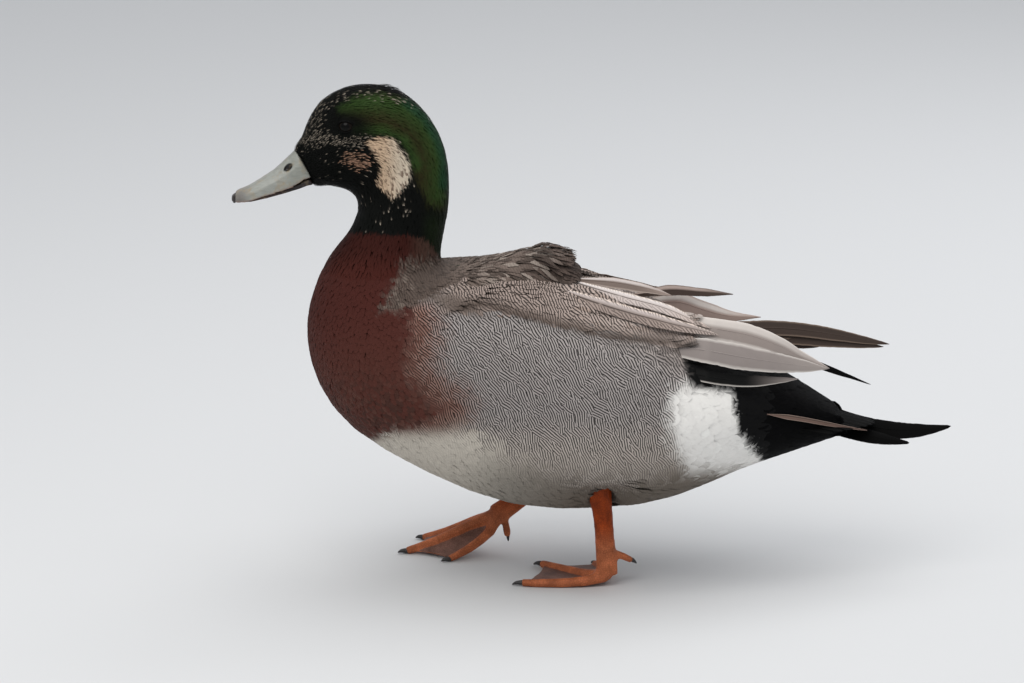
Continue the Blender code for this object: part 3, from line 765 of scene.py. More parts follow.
def plug_legs(bm):
    """Adds the tops of the shanks, so that the body has no pits where the legs go in."""
    for side in SIDES:
        top = bmesh_of_nodes(["shank_" + side])
        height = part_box("shank_" + side)[1].z - PLUG_DEPTH * MM
        bmesh.ops.bisect_plane(top, geom=top.verts[:] + top.edges[:] + top.faces[:],
                               plane_co=(0, 0, height), plane_no=(0, 0, 1), clear_inner=True)
        bmesh.ops.holes_fill(top, edges=[e for e in top.edges if e.is_boundary])
        mesh = bpy.data.meshes.new("plug")
        top.to_mesh(mesh)
        top.free()
        bm.from_mesh(mesh)
        bpy.data.meshes.remove(mesh)


BRUSHES = (  # places on the skin that are pulled: centre, reach and pull
    ((-171.5, 0, 262.5), (8, 9, 8), (-3.9, 0, -1.5)),  # the forehead runs down over the bill's root
    ((-165.0, 0, 240.0), (9, 9, 9), (-1.2, 0, -2.4)),  # the chin
    ((3.0, -47.0, 56.0), (28, 25, 30), (0, 0, 11.0)),  # the hollow that the near leg comes out of
)


def make_body_skin():
    bm = bmesh_of_nodes([*FLESH, "eye_left", "eye_right"])
    plug_legs(bm)
    body = remeshed("skin", bm, BODY_VOXEL, 7)
    places = vertex_array(body.data) / MM
    normals = vertex_array(body.data, "normal")
    depth = coat_depth(places, regions_at(places))
    places = places - normals * depth[:, None]
    for centre, reach, pull in BRUSHES:
        gap = np.linalg.norm((places - centre) / reach, axis=1)
        places = places + smooth_step(1.0, 0.2, gap)[:, None] * np.array(pull)
    move_vertices(body.data, places * MM)
    return body


def make_leg_skin(side):
    """Shank, foot and webs in one smooth shell, rounded off more where the toes meet the shank."""
    leg = remeshed("leg_" + side, bmesh_of_nodes(["shank_" + side, "foot_" + side]), LEG_VOXEL, 8)
    places = vertex_array(leg.data) / MM
    if side == "left":  # the thigh's root goes up into the plumage and widens
        top = smooth_step(36, 72, places[:, 2])
        places[:, 0] = 5 + (places[:, 0] - 5) * (1 + 0.12 * top) - 1.2 * top
        places[:, 2] += 7 * smooth_step(58, 72, places[:, 2])
        move_vertices(leg.data, places * MM)
    near = smooth_step(17, 9, np.linalg.norm(places - ANKLES[side], axis=1))
    group = leg.vertex_groups.new(name="ankle")
    for index in np.flatnonzero(near > 0.05).tolist():
        group.add([index], float(near[index]), "REPLACE")
    smooth = leg.modifiers.new("rounded", "SMOOTH")
    smooth.factor = 0.5
    smooth.iterations = 75
    smooth.vertex_group = "ankle"
    return with_modifiers_applied(leg)


def leg_colours(points, normals, surfaces):
    """Orange shanks and toes with dusky webs, which are the thin places between the toes."""
    shank = smooth_step(20, 40, points[:, 2])
    web = np.zeros(len(points))
    for k in np.flatnonzero(points[:, 2] < 40):
        point, inward = Vector(points[k]), -Vector(normals[k])
        hits = [surface.tree.ray_cast(point + inward * 0.05, inward, 6.0)[3] for surface in surfaces]
        thick = min([hit for hit in hits if hit is not None], default=6.0)
        web[k] = smooth_step(2.1, 1.5, thick)
    return layered("foot", ("shank", shank), ("web", web * 0.85))


class Surface:
    """The places, normals and nearest-place search of one or more meshes, in mm."""

    def __init__(self, *meshes, under=None):
        places = [under.places] if under else []
        normals = [under.normals] if under else []
        triangles = [under.triangles] if under else []
        for mesh in meshes:
            mesh.calc_loop_triangles()
            corners = np.empty(len(mesh.loop_triangles) * 3, np.int32)
            mesh.loop_triangles.foreach_get("vertices", corners)
            triangles.append(corners.reshape(-1, 3) + sum(map(len, places)))
            places.append(vertex_array(mesh) / MM)
            normals.append(vertex_array(mesh, "normal"))
        self.places, self.normals = np.vstack(places), np.vstack(normals)
        self.triangles = np.vstack(triangles)
        self.tree = BVHTree.FromPolygons(self.places.tolist(), self.triangles.tolist())

    def nearest(self, points):
        found = [self.tree.find_nearest(Vector(p)) for p in points]
        places = np.array([f[0] for f in found])
        corners = self.triangles[[f[2] for f in found]]
        gaps = np.linalg.norm(self.places[corners] - places[:, None], axis=2)
        share = 1 / (gaps + 0.05)
        normals = unit((self.normals[corners] * share[..., None]).sum(axis=1))
        return places, normals

    def above(self, points, outward):
        """The outermost place over each point, as seen along its outward direction."""
        places, normals = self.nearest(points)
        for k, (point, out) in enumerate(zip(points, outward)):
            out = Vector(out)
            hit = self.tree.ray_cast(Vector(point) + out * 24, -out, 30)
            if hit[0] is not None and (hit[0] - Vector(places[k])).length < 16:
                places[k] = hit[0]
                normals[k] = self.normals[self.triangles[hit[2]]].mean(axis=0)
        turned = (normals * outward).sum(axis=1, keepdims=True)
        return places, unit(np.where(turned < 0, -normals, normals) + outward * 0.2)

    def scatter(self, spacing_of, usable):
        """Roots spread over the surface, none nearer to another than its own spacing."""
        a, b, c = (self.places[self.triangles[:, k]] for k in range(3))
        area = np.linalg.norm(np.cross(b - a, c - a), axis=1) / 2
        middle = (a + b + c) / 3
        spacing = spacing_of(middle)
        crowd = np.where(usable(middle), area / spacing**2, 0)
        count = int(crowd.sum() * 6.5)
        chosen = rng.choice(len(area), size=count, p=crowd / crowd.sum())
        u, v = rng.random(count), rng.random(count)
        flip = u + v > 1
        u, v = np.where(flip, 1 - u, u), np.where(flip, 1 - v, v)
        points = a[chosen] + u[:, None] * (b - a)[chosen] + v[:, None] * (c - a)[chosen]
        reach = spacing[chosen]
        tree = KDTree(count)
        for index, point in enumerate(points.tolist()):
            tree.insert(point, index)
        tree.balance()
        free, kept = np.ones(count, bool), []
        for index in range(count):
            if free[index]:
                kept.append(index)
                for _, other, _ in tree.find_range(points[index], reach[index]):
                    free[other] = False
        return points[kept]


# ---------------------------------------------------------------- the coat
PLUMP = ((1, 0), (0, 1), (-1, 0), (0, -0.5))  # cross sections of a vane
FLAT = ((1, 0), (0.9, 0.55), (-0.9, 0.55), (-1, 0), (-0.9, -0.5), (0.9, -0.5))
VANE_STYLES = {  # rows along a vane, its half width at each of them and its cross section
    "hair": ((0.0, 0.45, 0.82, 1.0), (0.5, 1.0, 0.8, 0.10), PLUMP),
    "small": ((0.0, 0.4, 0.75, 0.93, 1.0), (0.55, 0.95, 1.0, 0.66, 0.12), PLUMP),
    "blade": ((0.0, 0.3, 0.6, 0.82, 0.94, 1.0), (0.5, 0.85, 1.0, 0.84, 0.48, 0.06), FLAT),
}


def vane_template(rows, outline, section):
    """A closed thin blade of length 1 along Y and half width 1 along X."""
    bm = bmesh.new()
    bmesh.ops.create_circle(bm, cap_ends=True, segments=len(section), radius=1.0)
    bmesh.ops.rotate(bm, verts=bm.verts, matrix=Matrix.Rotation(math.radians(90), 3, "X"))
    ring = sorted(bm.verts, key=lambda v: math.atan2(v.co.z, v.co.x) % math.tau)
    for vert, (across, up) in zip(ring, section):
        vert.co = (across, 0, up)
    top = next(iter(bm.faces))
    for place in rows[1:]:
        grown = bmesh.ops.extrude_face_region(bm, geom=[top])
        top = next(f for f in grown["geom"] if isinstance(f, bmesh.types.BMFace))
        for vert in top.verts:
            vert.co.y = place
    for vert in bm.verts:
        width = outline[min(range(len(rows)), key=lambda k: abs(rows[k] - vert.co.y))]
        vert.co.x *= width
        vert.co.z *= 0.35 + 0.65 * min(1, width * 1.2)
    bmesh.ops.recalc_face_normals(bm, faces=bm.faces)
    bm.verts.ensure_lookup_table()
    points = np.array([v.co[:] for v in bm.verts])
    faces = [[v.index for v in f.verts] for f in bm.faces]
    bm.free()
    return points, faces


class Coat:
    """Feathers as rows of numbers, turned into joined meshes of closed vanes."""

    roundness = 0.12  # how far the shading turns from a vane's middle to its edges
    sink = 0.25  # how deep a root lies in the skin, in mm
    camber = 0.04  # how far a vane's edges bend down, as a share of its width

    def __init__(self, *rows):
        (self.roots, self.normals, self.lie, self.length, self.width, self.rise, self.region,
         self.chance, self.wander, self.tone) = self.rows = rows

    def shaped(self, surface, template, thick, over):
        """Places of every vane's vertices: a bent centre line that follows the surface."""
        length = self.length[:, None]

        def find(points):
            return surface.above(points, self.normals) if over else surface.nearest(points)

        middle, middle_normal = find(self.roots + self.lie * length * 0.5)
        tip, tip_normal = find(self.roots + self.lie * length)
        tip_normal = unit(tip_normal + self.normals * 0.35)
        middle_normal = unit(middle_normal + self.normals * 0.35)
        reach = np.linalg.norm(tip - self.roots, axis=1, keepdims=True)
        tip = self.roots + (tip - self.roots) * np.clip(length / np.maximum(reach, 1e-3), 1, 1.25)
        start = self.roots - self.normals * self.sink
        middle = middle + middle_normal * (self.rise * 0.80)[:, None]
        tip = tip + tip_normal * self.rise[:, None]
        handle = 2 * middle - (start + tip) / 2
        across, along, up = template.T
        t = along[None, :, None]
        line = (1 - t) ** 2 * start[:, None] + 2 * t * (1 - t) * handle[:, None] + t**2 * tip[:, None]
        ahead = unit(2 * (1 - t) * (handle - start)[:, None] + 2 * t * (tip - handle)[:, None])
        skin_normal = unit((1 - t) * self.normals[:, None] + t * tip_normal[:, None])
        side = unit(np.cross(ahead, skin_normal))
        normal = np.cross(side, ahead)
        across, up = across[None, :, None], up[None, :, None]
        width = self.width[:, None, None]
        bend = -self.camber * across**2 * width
        lift = thick * np.minimum(1, width / 4) * up + bend
        upward = np.where(up < -0.01, -1.0, 1.0)
        facing = unit(upward * (skin_normal * 0.90 + normal * 0.10) + side * (across * self.roundness))
        return line + side * across * (width / 2) + normal * lift, facing

    def build(self, name, material, slot, surface, style, thick, over):
        """Makes one joined mesh. Vanes that lie over others follow the outermost surface."""
        template, faces = vane_template(*VANE_STYLES[style])
        places, facing = self.shaped(surface, template, thick, over)
        count, size = len(self.roots), len(template)
        offsets = (np.arange(count) * size)[:, None]
        corners = np.array([v for face in faces for v in face])
        sizes = np.array([len(face) for face in faces])
        loops = (corners[None] + offsets).ravel()
        totals = np.tile(sizes, count)
        mesh = bpy.data.meshes.new(name)
        mesh.vertices.add(count * size)
        mesh.vertices.foreach_set("co", (places * MM).astype(np.float32).ravel())
        mesh.loops.add(len(loops))
        mesh.loops.foreach_set("vertex_index", loops.astype(np.int32))
        mesh.polygons.add(len(totals))
        mesh.polygons.foreach_set("loop_start", (np.cumsum(totals) - totals).astype(np.int32))
        mesh.update(calc_edges=True)
        owners = np.repeat(np.arange(count), size)
        colours, waves = plumage(places.reshape(-1, 3), self.region[owners], self.chance[owners],
                                 self.wander[owners], np.tile(template[:, 1], count))
        shade = np.tile(0.88 + 0.12 * smooth_step(0.1, 0.6, template[:, 1]), count) * self.tone[owners]
        paint_vertices(mesh, np.clip(colours * shade[:, None], 0, 0.9), waves)
        along, angle, _ = spine_place(self.roots)
        place = np.stack((0.02 + 0.96 * along, 0.5 + 0.48 * angle / math.pi), axis=1)
        patch = 0.0015 * np.stack((template[:, 1] * 2 - 1, template[:, 0]), axis=1)
        lay_map(mesh, "vane", np.tile(template[:, :2] * (0.5, 1) + (0.5, 0), (count, 1)), loops)
        lay_map(mesh, "OFBake", (place[:, None] + patch[None]).reshape(-1, 2), loops)
        print(f"{name}: {count} feathers, {int((totals - 2).sum())} triangles")
        obj = finish_piece(object_of(name, mesh), [material])
        obj.data.normals_split_custom_set_from_vertices(facing.reshape(-1, 3).tolist())

    def part(self, mask):
        return Coat(*(row[mask] for row in self.rows))


def wing_reach(points):
    """How far back the feathers of the folded wings may go, at each height."""
    return np.interp(points[:, 2], (140, 150, 157, 170, 180), (50, 57, 61, 55, 50))


def on_back(points, region):
    """Which places lie on the bare back between the folded wings."""
    x, y, z = points.T
    return in_parts(region, "trunk") & (np.abs(y) < 52) & (x > -15) & (z > 135)


def feather_sizes(points, region):
    """Length, width and spacing of the feathers rooted at each place."""

    def set_sizes(mask, *new):
        sizes[:] = [np.where(mask, value, old) for value, old in zip(new, sizes)]

    along = spine_place(points)[0]
    from_bill = np.linalg.norm(points - BILL_ROOT, axis=1)
    length = np.interp(along, (0.33, 0.42, 0.5, 0.62, 0.8, 0.92, 1.0), (9, 10.5, 13, 17, 20, 18, 15))
    width = length * np.interp(along, (0.40, 0.55, 0.8), (0.34, 0.46, 0.46))
    spacing = length * np.interp(along, (0.40, 0.55, 0.62, 0.8), (0.17, 0.19, 0.175, 0.165))
    sizes = [length, width, spacing]
    face = np.interp(from_bill, (0, 12, 40, 90), (2.2, 3.0, 4.6, 7.0))
    face = np.minimum(face, 1.3 + 0.30 * eye_gap(points))
    neck = np.interp(points[:, 2], (190, 240), (10.0, 7.0))
    set_sizes(in_parts(region, "head"), face, 0.12 * face + 0.24, 0.13 * face + 0.28)
    set_sizes(in_parts(region, "neck"), neck, 0.15 * neck + 0.1, 0.14 * neck)
    leg_gap = np.minimum(*(np.linalg.norm(points - top, axis=1) for top in LEG_TOPS))
    shorter = np.interp(leg_gap, (12, 34), (0.42, 1.0))
    sizes = [size * shorter for size in sizes]
    blade = np.interp(points[:, 0], (-85, -40, 20, 70), (11, 18, 28, 34))
    blade = np.clip(wing_reach(points) - points[:, 0], 12, blade)
    loose = np.interp(points[:, 0], (-85, -60, -20), (9, 15, 18))
    loose = np.clip(-12 - points[:, 0], 7, loose)
    set_sizes(in_parts(region, *WINGS), blade, 0.10 * blade + 1.9, 0.06 * blade + 1.2)
    set_sizes(in_parts(region, "mantle"), loose, 0.15 * loose + 0.4, 0.11 * loose + 0.2)
    set_sizes(on_back(points, region), 24.0, 4.0, 2.6)
    return sizes


def eye_gap(points):
    """Distance from the nearer eye's rim."""
    gaps = [np.linalg.norm(points - EYE_CENTRES[side], axis=1) for side in SIDES]
    return np.maximum(np.minimum(*gaps) - EYE_RADIUS, 0)


# ---------------------------------------------------------------- lofted pieces
def stepped(verts, new):
    """The new vertices that an extrusion tied to the given ones, in their order."""
    return [next(e.other_vert(v) for e in v.link_edges if e.other_vert(v) in new) for v in verts]


def tube_of_rings(name, rings):
    """A closed body extruded ring by ring, and each vertex's ring and place in it."""
    bm = bmesh.new()
    bmesh.ops.create_circle(bm, cap_ends=True, segments=len(rings[0]), radius=1.0)
    top = next(iter(bm.faces))
    verts = [loop.vert for loop in top.loops]
    spot = {}
    for k, ring in enumerate(rings):
        if k:
            before = top
            grown = bmesh.ops.extrude_face_region(bm, geom=[top])["geom"]
            top = next(f for f in grown if isinstance(f, bmesh.types.BMFace))
            verts = stepped(verts, set(top.verts))
            if k > 1:  # no walls are left inside
                bm.faces.remove(before)
        for j, (vert, point) in enumerate(zip(verts, ring)):
            vert.co = Vector(point) * MM
            spot[vert] = (k, j)
    bmesh.ops.recalc_face_normals(bm, faces=bm.faces)
    bm.verts.index_update()
    order = sorted(spot, key=lambda v: v.index)
    spots = np.array([spot[v] for v in order])
    return object_from_bmesh(name, bm), spots


def join_objects(name, objects):
    """Joins meshes into one object and keeps their attributes."""
    target = objects[0]
    with bpy.context.temp_override(active_object=target, selected_editable_objects=objects,
                                   selected_objects=objects, object=target):
        bpy.ops.object.join()
    target.name = name
    target.data.name = name
    return target


VANE_COLUMNS = np.array((-1.0, -0.97, -0.72, -0.4, -0.07, 0.07, 0.4, 0.72, 0.97, 1.0))


def vane_piece(name, middles, sides, ups, half_widths, paint, thick=0.28, arch=0.10, waves=0.0):
    """One large feather: a thin arched vane along a line of middles, with a shaft along it.
    paint(across, along) gives its colour, and waves is the strength of the fine lines on it."""
    rows = len(middles)
    t = np.linspace(0, 1, rows)
    edge_left = half_widths * (1 - 0.05 * rng.random(rows) ** 4)
    edge_right = half_widths * (1 - 0.05 * rng.random(rows) ** 4)
    rings = []
    for k in range(rows):
        across = VANE_COLUMNS * np.where(VANE_COLUMNS < 0, edge_left[k], edge_right[k])
        height = arch * half_widths[k] * (1 - VANE_COLUMNS**2)
        thin = thick * (1 - 0.75 * np.abs(VANE_COLUMNS) ** 3) / 2
        line = middles[k] + across[:, None] * sides[k] + height[:, None] * ups[k]
        upper, lower = line + thin[:, None] * ups[k], line - thin[:, None] * ups[k]
        rings.append(np.vstack((upper, lower[::-1])))
    blade, spots = tube_of_rings(name, rings)
    columns = len(VANE_COLUMNS)
    place = np.where(spots[:, 1] < columns, spots[:, 1], 2 * columns - 1 - spots[:, 1])
    across, along = VANE_COLUMNS[place], t[spots[:, 0]]
    shaft_size = np.interp(t, (0, 1), (0.62, 0.14)) * min(1.0, max(half_widths) / 4.5)
    shaft_rings = []
    for k in range(0, rows, 2):
        crest = middles[k] + ups[k] * (arch * half_widths[k] + thick * 0.3)
        turn = np.arange(6) / 6 * math.tau
        shaft_rings.append(
            crest + shaft_size[k] * (np.cos(turn)[:, None] * sides[k] + 0.7 * np.sin(turn)[:, None] * ups[k])
        )
    shaft, shaft_spots = tube_of_rings(name + "_shaft", shaft_rings)
    shaft_along = t[::2][shaft_spots[:, 0]]
    waved = waves * np.maximum(smooth_step(0.0, 0.3, across), smooth_step(-0.5, -0.9, across))
    paint_vertices(blade.data, paint(across, along), waved)
    even = np.zeros(len(shaft_along))
    shaft_colours = paint(even, shaft_along) * (0.45 if waves else 1.1)
    paint_vertices(shaft.data, np.clip(shaft_colours, 0, 0.9), even)
    for obj, u, v in ((blade, across * 0.5 + 0.5, along), (shaft, even + 0.5, shaft_along)):
        lay_map(obj.data, "vane", np.stack((u, v), axis=1), loop_vertices(obj.data))
    return join_objects(name, [blade, shaft])


def blade_sections(node, count):
    """Middle, side, up and half width of slices across a long thin node."""
    bm = bmesh_of_nodes([node])
    places = np.array([v.co[:] for v in bm.verts]) / MM
    edges = np.array([[v.index for v in e.verts] for e in bm.edges])
    bm.free()
    centre = places.mean(axis=0)
    axis = np.linalg.svd(places - centre, full_matrices=False)[2][0]
    axis = axis * np.sign(axis[0])
    reach = (places - centre) @ axis
    start, end = reach[edges[:, 0]], reach[edges[:, 1]]
    stations, middles, sides, halves = np.linspace(reach.min() + 0.6, reach.max() - 0.25, count), [], [], []
    for station in stations:
        crossed = (start - station) * (end - station) < 0
        share = ((station - start) / (end - start))[crossed][:, None]
        points = places[edges[crossed, 0]] * (1 - share) + places[edges[crossed, 1]] * share
        middle = points.mean(axis=0)
        side = np.linalg.svd(points - middle, full_matrices=False)[2][0]
        side = side * (np.sign(side[1]) or 1)
        spread = (points - middle) @ side
        middles.append(middle + side * (spread.max() + spread.min()) / 2)
        sides.append(side)
        halves.append((spread.max() - spread.min()) / 2)
    middles, sides, halves = np.array(middles), np.array(sides), np.array(halves)
    t = np.linspace(0, 1, count)
    free = t > 0.34  # nearer the root the node is cut clear of the body
    for k in range(3):
        middles[:, k] = np.polyval(np.polyfit(t[free], middles[free, k], 2), t)
        sides[:, k] = np.polyval(np.polyfit(t[free], sides[free, k], 1), t)
    root_half = halves[free].max() * np.interp(t, (0, 0.34), (0.75, 0.96))
    halves = np.where(free, halves, root_half)
    ahead = unit(np.gradient(middles, axis=0))
    sides = unit(sides - (sides * ahead).sum(axis=1, keepdims=True) * ahead)
    ups = np.cross(ahead, sides)
    ups = ups * np.sign(ups[:, 2:3] + 1e-9)
    return middles, sides, ups, halves


TAIL_COLOURS = ((0.0025, 0.0025, 0.0025), (0.005, 0.005, 0.005), (0.0025, 0.0025, 0.0025))
TERTIALS = {  # node: line on the leaning plane, depth at root and tip, half widths, turn, colours
    "tertial_left_1": (
        ((36, 152), (73, 146), (94, 142), (111, 136), (126, 128.5), (142, 122.5)), (-24, -33, -28, -16),
        ((0, 4.0), (0.3, 6.8), (0.5, 7.6), (0.75, 6.0), (0.9, 3.2), (1, 0.2)), 38,
        ((0.275, 0.235, 0.215), (0.66, 0.61, 0.57), (0.36, 0.31, 0.285), (0.56, 0.515, 0.48)),
    ),
    "tertial_left_2": (
        ((32, 138), (62, 134), (88, 129.3), (108, 126.3), (126, 124), (141, 122.3)), (-33, -44, -36, -22),
        ((0, 4.0), (0.3, 7.6), (0.5, 8.2), (0.72, 6.4), (0.88, 3.8), (1, 0.2)), 32,
        ((0.260, 0.228, 0.214), (0.62, 0.58, 0.54), (0.33, 0.292, 0.27), (0.260, 0.228, 0.214)),
    ),
    "tertial_left_3": (
        ((42, 126), (62, 119), (85, 115.3), (103, 115.2), (123, 116.3)), (-38, -48, -42, -30),
        ((0, 3.0), (0.4, 4.0), (0.7, 3.4), (0.9, 1.6), (1, 0.2)), 32,
        ((0.006, 0.006, 0.006), (0.60, 0.56, 0.52), (0.33, 0.29, 0.27), (0.006, 0.006, 0.006), 1),
    ),
    "tertial_right_1": (
        ((24, 166), (46, 169.3), (66, 168.2), (85, 167)), (5, 9, 14, 19),
        ((0, 1.0), (0.35, 3.4), (0.75, 2.4), (1, 0.2)), 24,
        ((0.07, 0.050, 0.042), (0.12, 0.09, 0.075), (0.10, 0.075, 0.062), (0.40, 0.32, 0.285)),
    ),
    "tertial_right_2": (
        ((26, 160), (50, 162.5), (66, 158), (82, 154), (102, 153.3)), (8, 15, 21, 26),
        ((0, 2.0), (0.35, 6.2), (0.65, 5.0), (0.82, 2.6), (1, 0.2)), 26,
        ((0.33, 0.25, 0.22), (0.42, 0.33, 0.29), (0.36, 0.27, 0.235), (0.68, 0.62, 0.58)),
    ),
    "tertial_right_3": (
        ((40, 150), (73, 146), (94, 141), (112, 137), (123, 127)), (26, 33, 34, 34),
        ((0, 1.5), (0.25, 6.6), (0.5, 7.4), (0.7, 6.2), (0.88, 3.6), (1, 0.2)), -30,
        ((0.34, 0.285, 0.26), (0.74, 0.69, 0.65), (0.42, 0.36, 0.33), (0.55, 0.50, 0.465)),
    ),
}
SCAPULARS = (  # over each folded wing, as in TERTIALS; the topmost lies on the left only
    (
        ((-19, 168.9), (11, 158.4), (42, 150.0), (60, 145.9), (75, 142.4)), (-28, -38.5, -36, -36.5, -37.5),
        ((0, 2.0), (0.3, 5.0), (0.6, 5.2), (0.82, 3.4), (0.93, 1.7), (1, 0.15)), 48,
        ((0.235, 0.188, 0.166), (0.56, 0.47, 0.40), (0.30, 0.25, 0.225), (0.42, 0.365, 0.345), -1),
    ),
    (
        ((-11, 174.0), (16.8, 165.4), (43.6, 158.0), (70, 146.4)), (-13, -23, -25, -34),
        ((0, 1.5), (0.35, 4.0), (0.7, 3.8), (0.9, 1.8), (1, 0.15)), 52,
        ((0.47, 0.41, 0.385), (0.56, 0.47, 0.40), (0.42, 0.34, 0.30), (0.60, 0.55, 0.53), -1),
    ),
    (
        ((-8, 175.4), (12.6, 173.6), (28.2, 170.9), (38.2, 168.7), (48, 165.9)), (-10, -9, -9, -8, -7),
        ((0, 1.8), (0.35, 4.6), (0.65, 4.2), (0.87, 2.2), (1, 0.15)), 60,
        ((0.165, 0.128, 0.110), (0.40, 0.33, 0.29), (0.30, 0.235, 0.205), (0.50, 0.45, 0.43), 0),
    ),
)
SCAPULAR_COUNTS, SCAPULAR_WAVES = {"left": 3, "right": 2}, (0.5, 0.25, 0.0)
FLIGHT = {  # each wing's folded flight feathers: root and tip on the leaning plane, bend, half width
    "right": (
        ((56, 145.1), (179.5, 137.0), 5.3, 4.8), ((56, 143.5), (176, 135.4), 2.0, 5.0),
        ((56, 145), (158, 137.8), 3.6, 4.6), ((56, 142), (137, 135.4), 1.8, 5.0),
    ),
    "left": (
        ((74, 139), (167, 112.8), 3.9, 2.1), ((74, 136.9), (156, 116.2), 4.0, 2.2),
        ((74, 135.5), (145, 120.2), 3.0, 2.2),
    ),
}
FLIGHT_COLOURS = {  # base, edge, tip and upper web
    "left": ((0.003, 0.003, 0.003), (0.008, 0.007, 0.006), (0.003, 0.003, 0.003), (0.003, 0.003, 0.003)),
    "right": ((0.058, 0.042, 0.035), (0.21, 0.155, 0.12), (0.050, 0.037, 0.031), (0.050, 0.037, 0.031)),
}
FLIGHT_HANG = {"left": (34, (-20.3, -10)), "right": (30, (3.6, 23))}  # turn, depth at root and tip
FLIGHT_OUTLINE = ((0, 0.8), (0.4, 1), (0.7, 0.86), (0.88, 0.5), (0.97, 0.2))
VANE_STEPS = 52  # points along a long vane


def vane_paint(base, edge, tip, upper=None, rim_side=0, seed=1):
    """A vane with pale edges, a paler tip and, if given, another upper web. rim_side 1 leaves only
    the lower edge pale and -1 only the upper one."""
    streaks = np.random.default_rng(seed).normal(0, 0.012, 64)
    upper = base if upper is None else upper

    def paint(across, along):
        rim = smooth_step(0.80, 0.99, across * rim_side if rim_side else np.abs(across))
        colour = layered(
            base,
            (upper, smooth_step(0.0, -0.45, across)),
            (tip, smooth_step(0.60, 1.0, along) * 0.8),
            (edge, rim * 0.9),
        )
        barb = streaks[(np.abs(along * 40 + np.abs(across) * 6)).astype(int) % 64]
        return colour * (1 + barb)[:, None]

    return paint


def leaning_place(x, w, y):
    return np.stack((x, y, (w - y * math.sin(HIGH_VIEW)) / math.cos(HIGH_VIEW)), axis=-1)


def hang(middles, down, outward):
    """Side and up directions of a vane that hangs down from its middles and faces outward."""
    ahead = unit(np.gradient(middles, axis=0))
    sides = unit(down - (ahead @ down)[:, None] * ahead)
    ups = np.cross(sides, ahead)
    return sides, ups * np.where(ups @ outward < 0, -1.0, 1.0)[:, None]


def vane_along(name, line, depth, halves, turn, paint, thick=0.28, arch=0.10, waves=0.0, mirrored=False):
    """A vane whose middle follows a line on the leaning plane. turn is how far it leans back from
    upright, in degrees, and its lower edge is the one at across 1. A mirrored one lies on the other
    side, a little further forward."""
    line = curve_points(line, VANE_STEPS)
    t = np.linspace(0, 1, len(line))
    middles = leaning_place(line[:, 0], line[:, 1], np.interp(t, np.linspace(0, 1, len(depth)), depth))
    if mirrored:
        middles = middles * (1, -1, 1) - (8, 0, 0)
        turn = -turn
    lean = math.radians(turn)
    hand = 1.0 if turn < 0 else -1.0
    down = np.array((0.0, hand * abs(math.sin(lean)), -math.cos(lean)))
    sides, ups = hang(middles, down, np.array((0.0, hand, 0.35)))
    half = np.interp(t, *np.transpose(halves))
    return vane_piece(name, middles, sides, ups, half, paint, thick, arch, waves)


def build_tertials(material):
    made = []
    for node, (line, depth, halves, turn, colours) in TERTIALS.items():
        vane = vane_along(node.replace("tertial", "long_vane"), line, depth, halves, turn,
                          vane_paint(*colours, seed=len(made)))
        made.append(finish_piece(vane, [material], [node]))
    return made


def build_scapulars(material):
    for side in SIDES:
        for k, (line, depth, halves, turn, colours) in enumerate(SCAPULARS[:SCAPULAR_COUNTS[side]]):
            paint = vane_paint(*colours, seed=80 + k)
            vane = vane_along(f"scapular_{side}_{k + 1}", line, depth, halves, turn, paint, arch=0.12,
                              waves=SCAPULAR_WAVES[k], mirrored=side == "right")
            finish_piece(vane, [material])


def build_plume(node, material):
    """A long feather whose middle and width come from its node."""
    middles, sides, ups, halves = blade_sections(node, 56)
    t = np.linspace(0, 1, len(halves))
    halves = np.minimum(halves, halves.max() * np.sqrt(np.clip((1 - t) / 0.16, 0, 1)) + 0.15)
    piece = vane_piece(node.replace("tail_", "tail_long_"), middles, sides, ups, halves,
                       vane_paint(*TAIL_COLOURS))
    finish_piece(piece, [material], [node])


def build_primaries(side, material):
    """The folded flight feathers: a stack of narrow blades, the shorter ones on top."""
    made = []
    for k, (root, tip, bend, half) in enumerate(FLIGHT[side]):
        middle = ((root[0] + tip[0]) / 2, (root[1] + tip[1]) / 2 + bend)
        turn, deep = FLIGHT_HANG[side]
        depth = [y - 0.7 * k for y in deep]
        halves = (*((place, half * share) for place, share in FLIGHT_OUTLINE), (1, 0.12))
        made.append(vane_along(f"primary_{side}_{k}", (root, middle, tip), depth, halves, turn,
                               vane_paint(*FLIGHT_COLOURS[side], seed=30 + k), 0.24, 0.05))
    finish_piece(join_objects("flight_feathers_" + side, made), [material],
                 ["primaries_" + side])


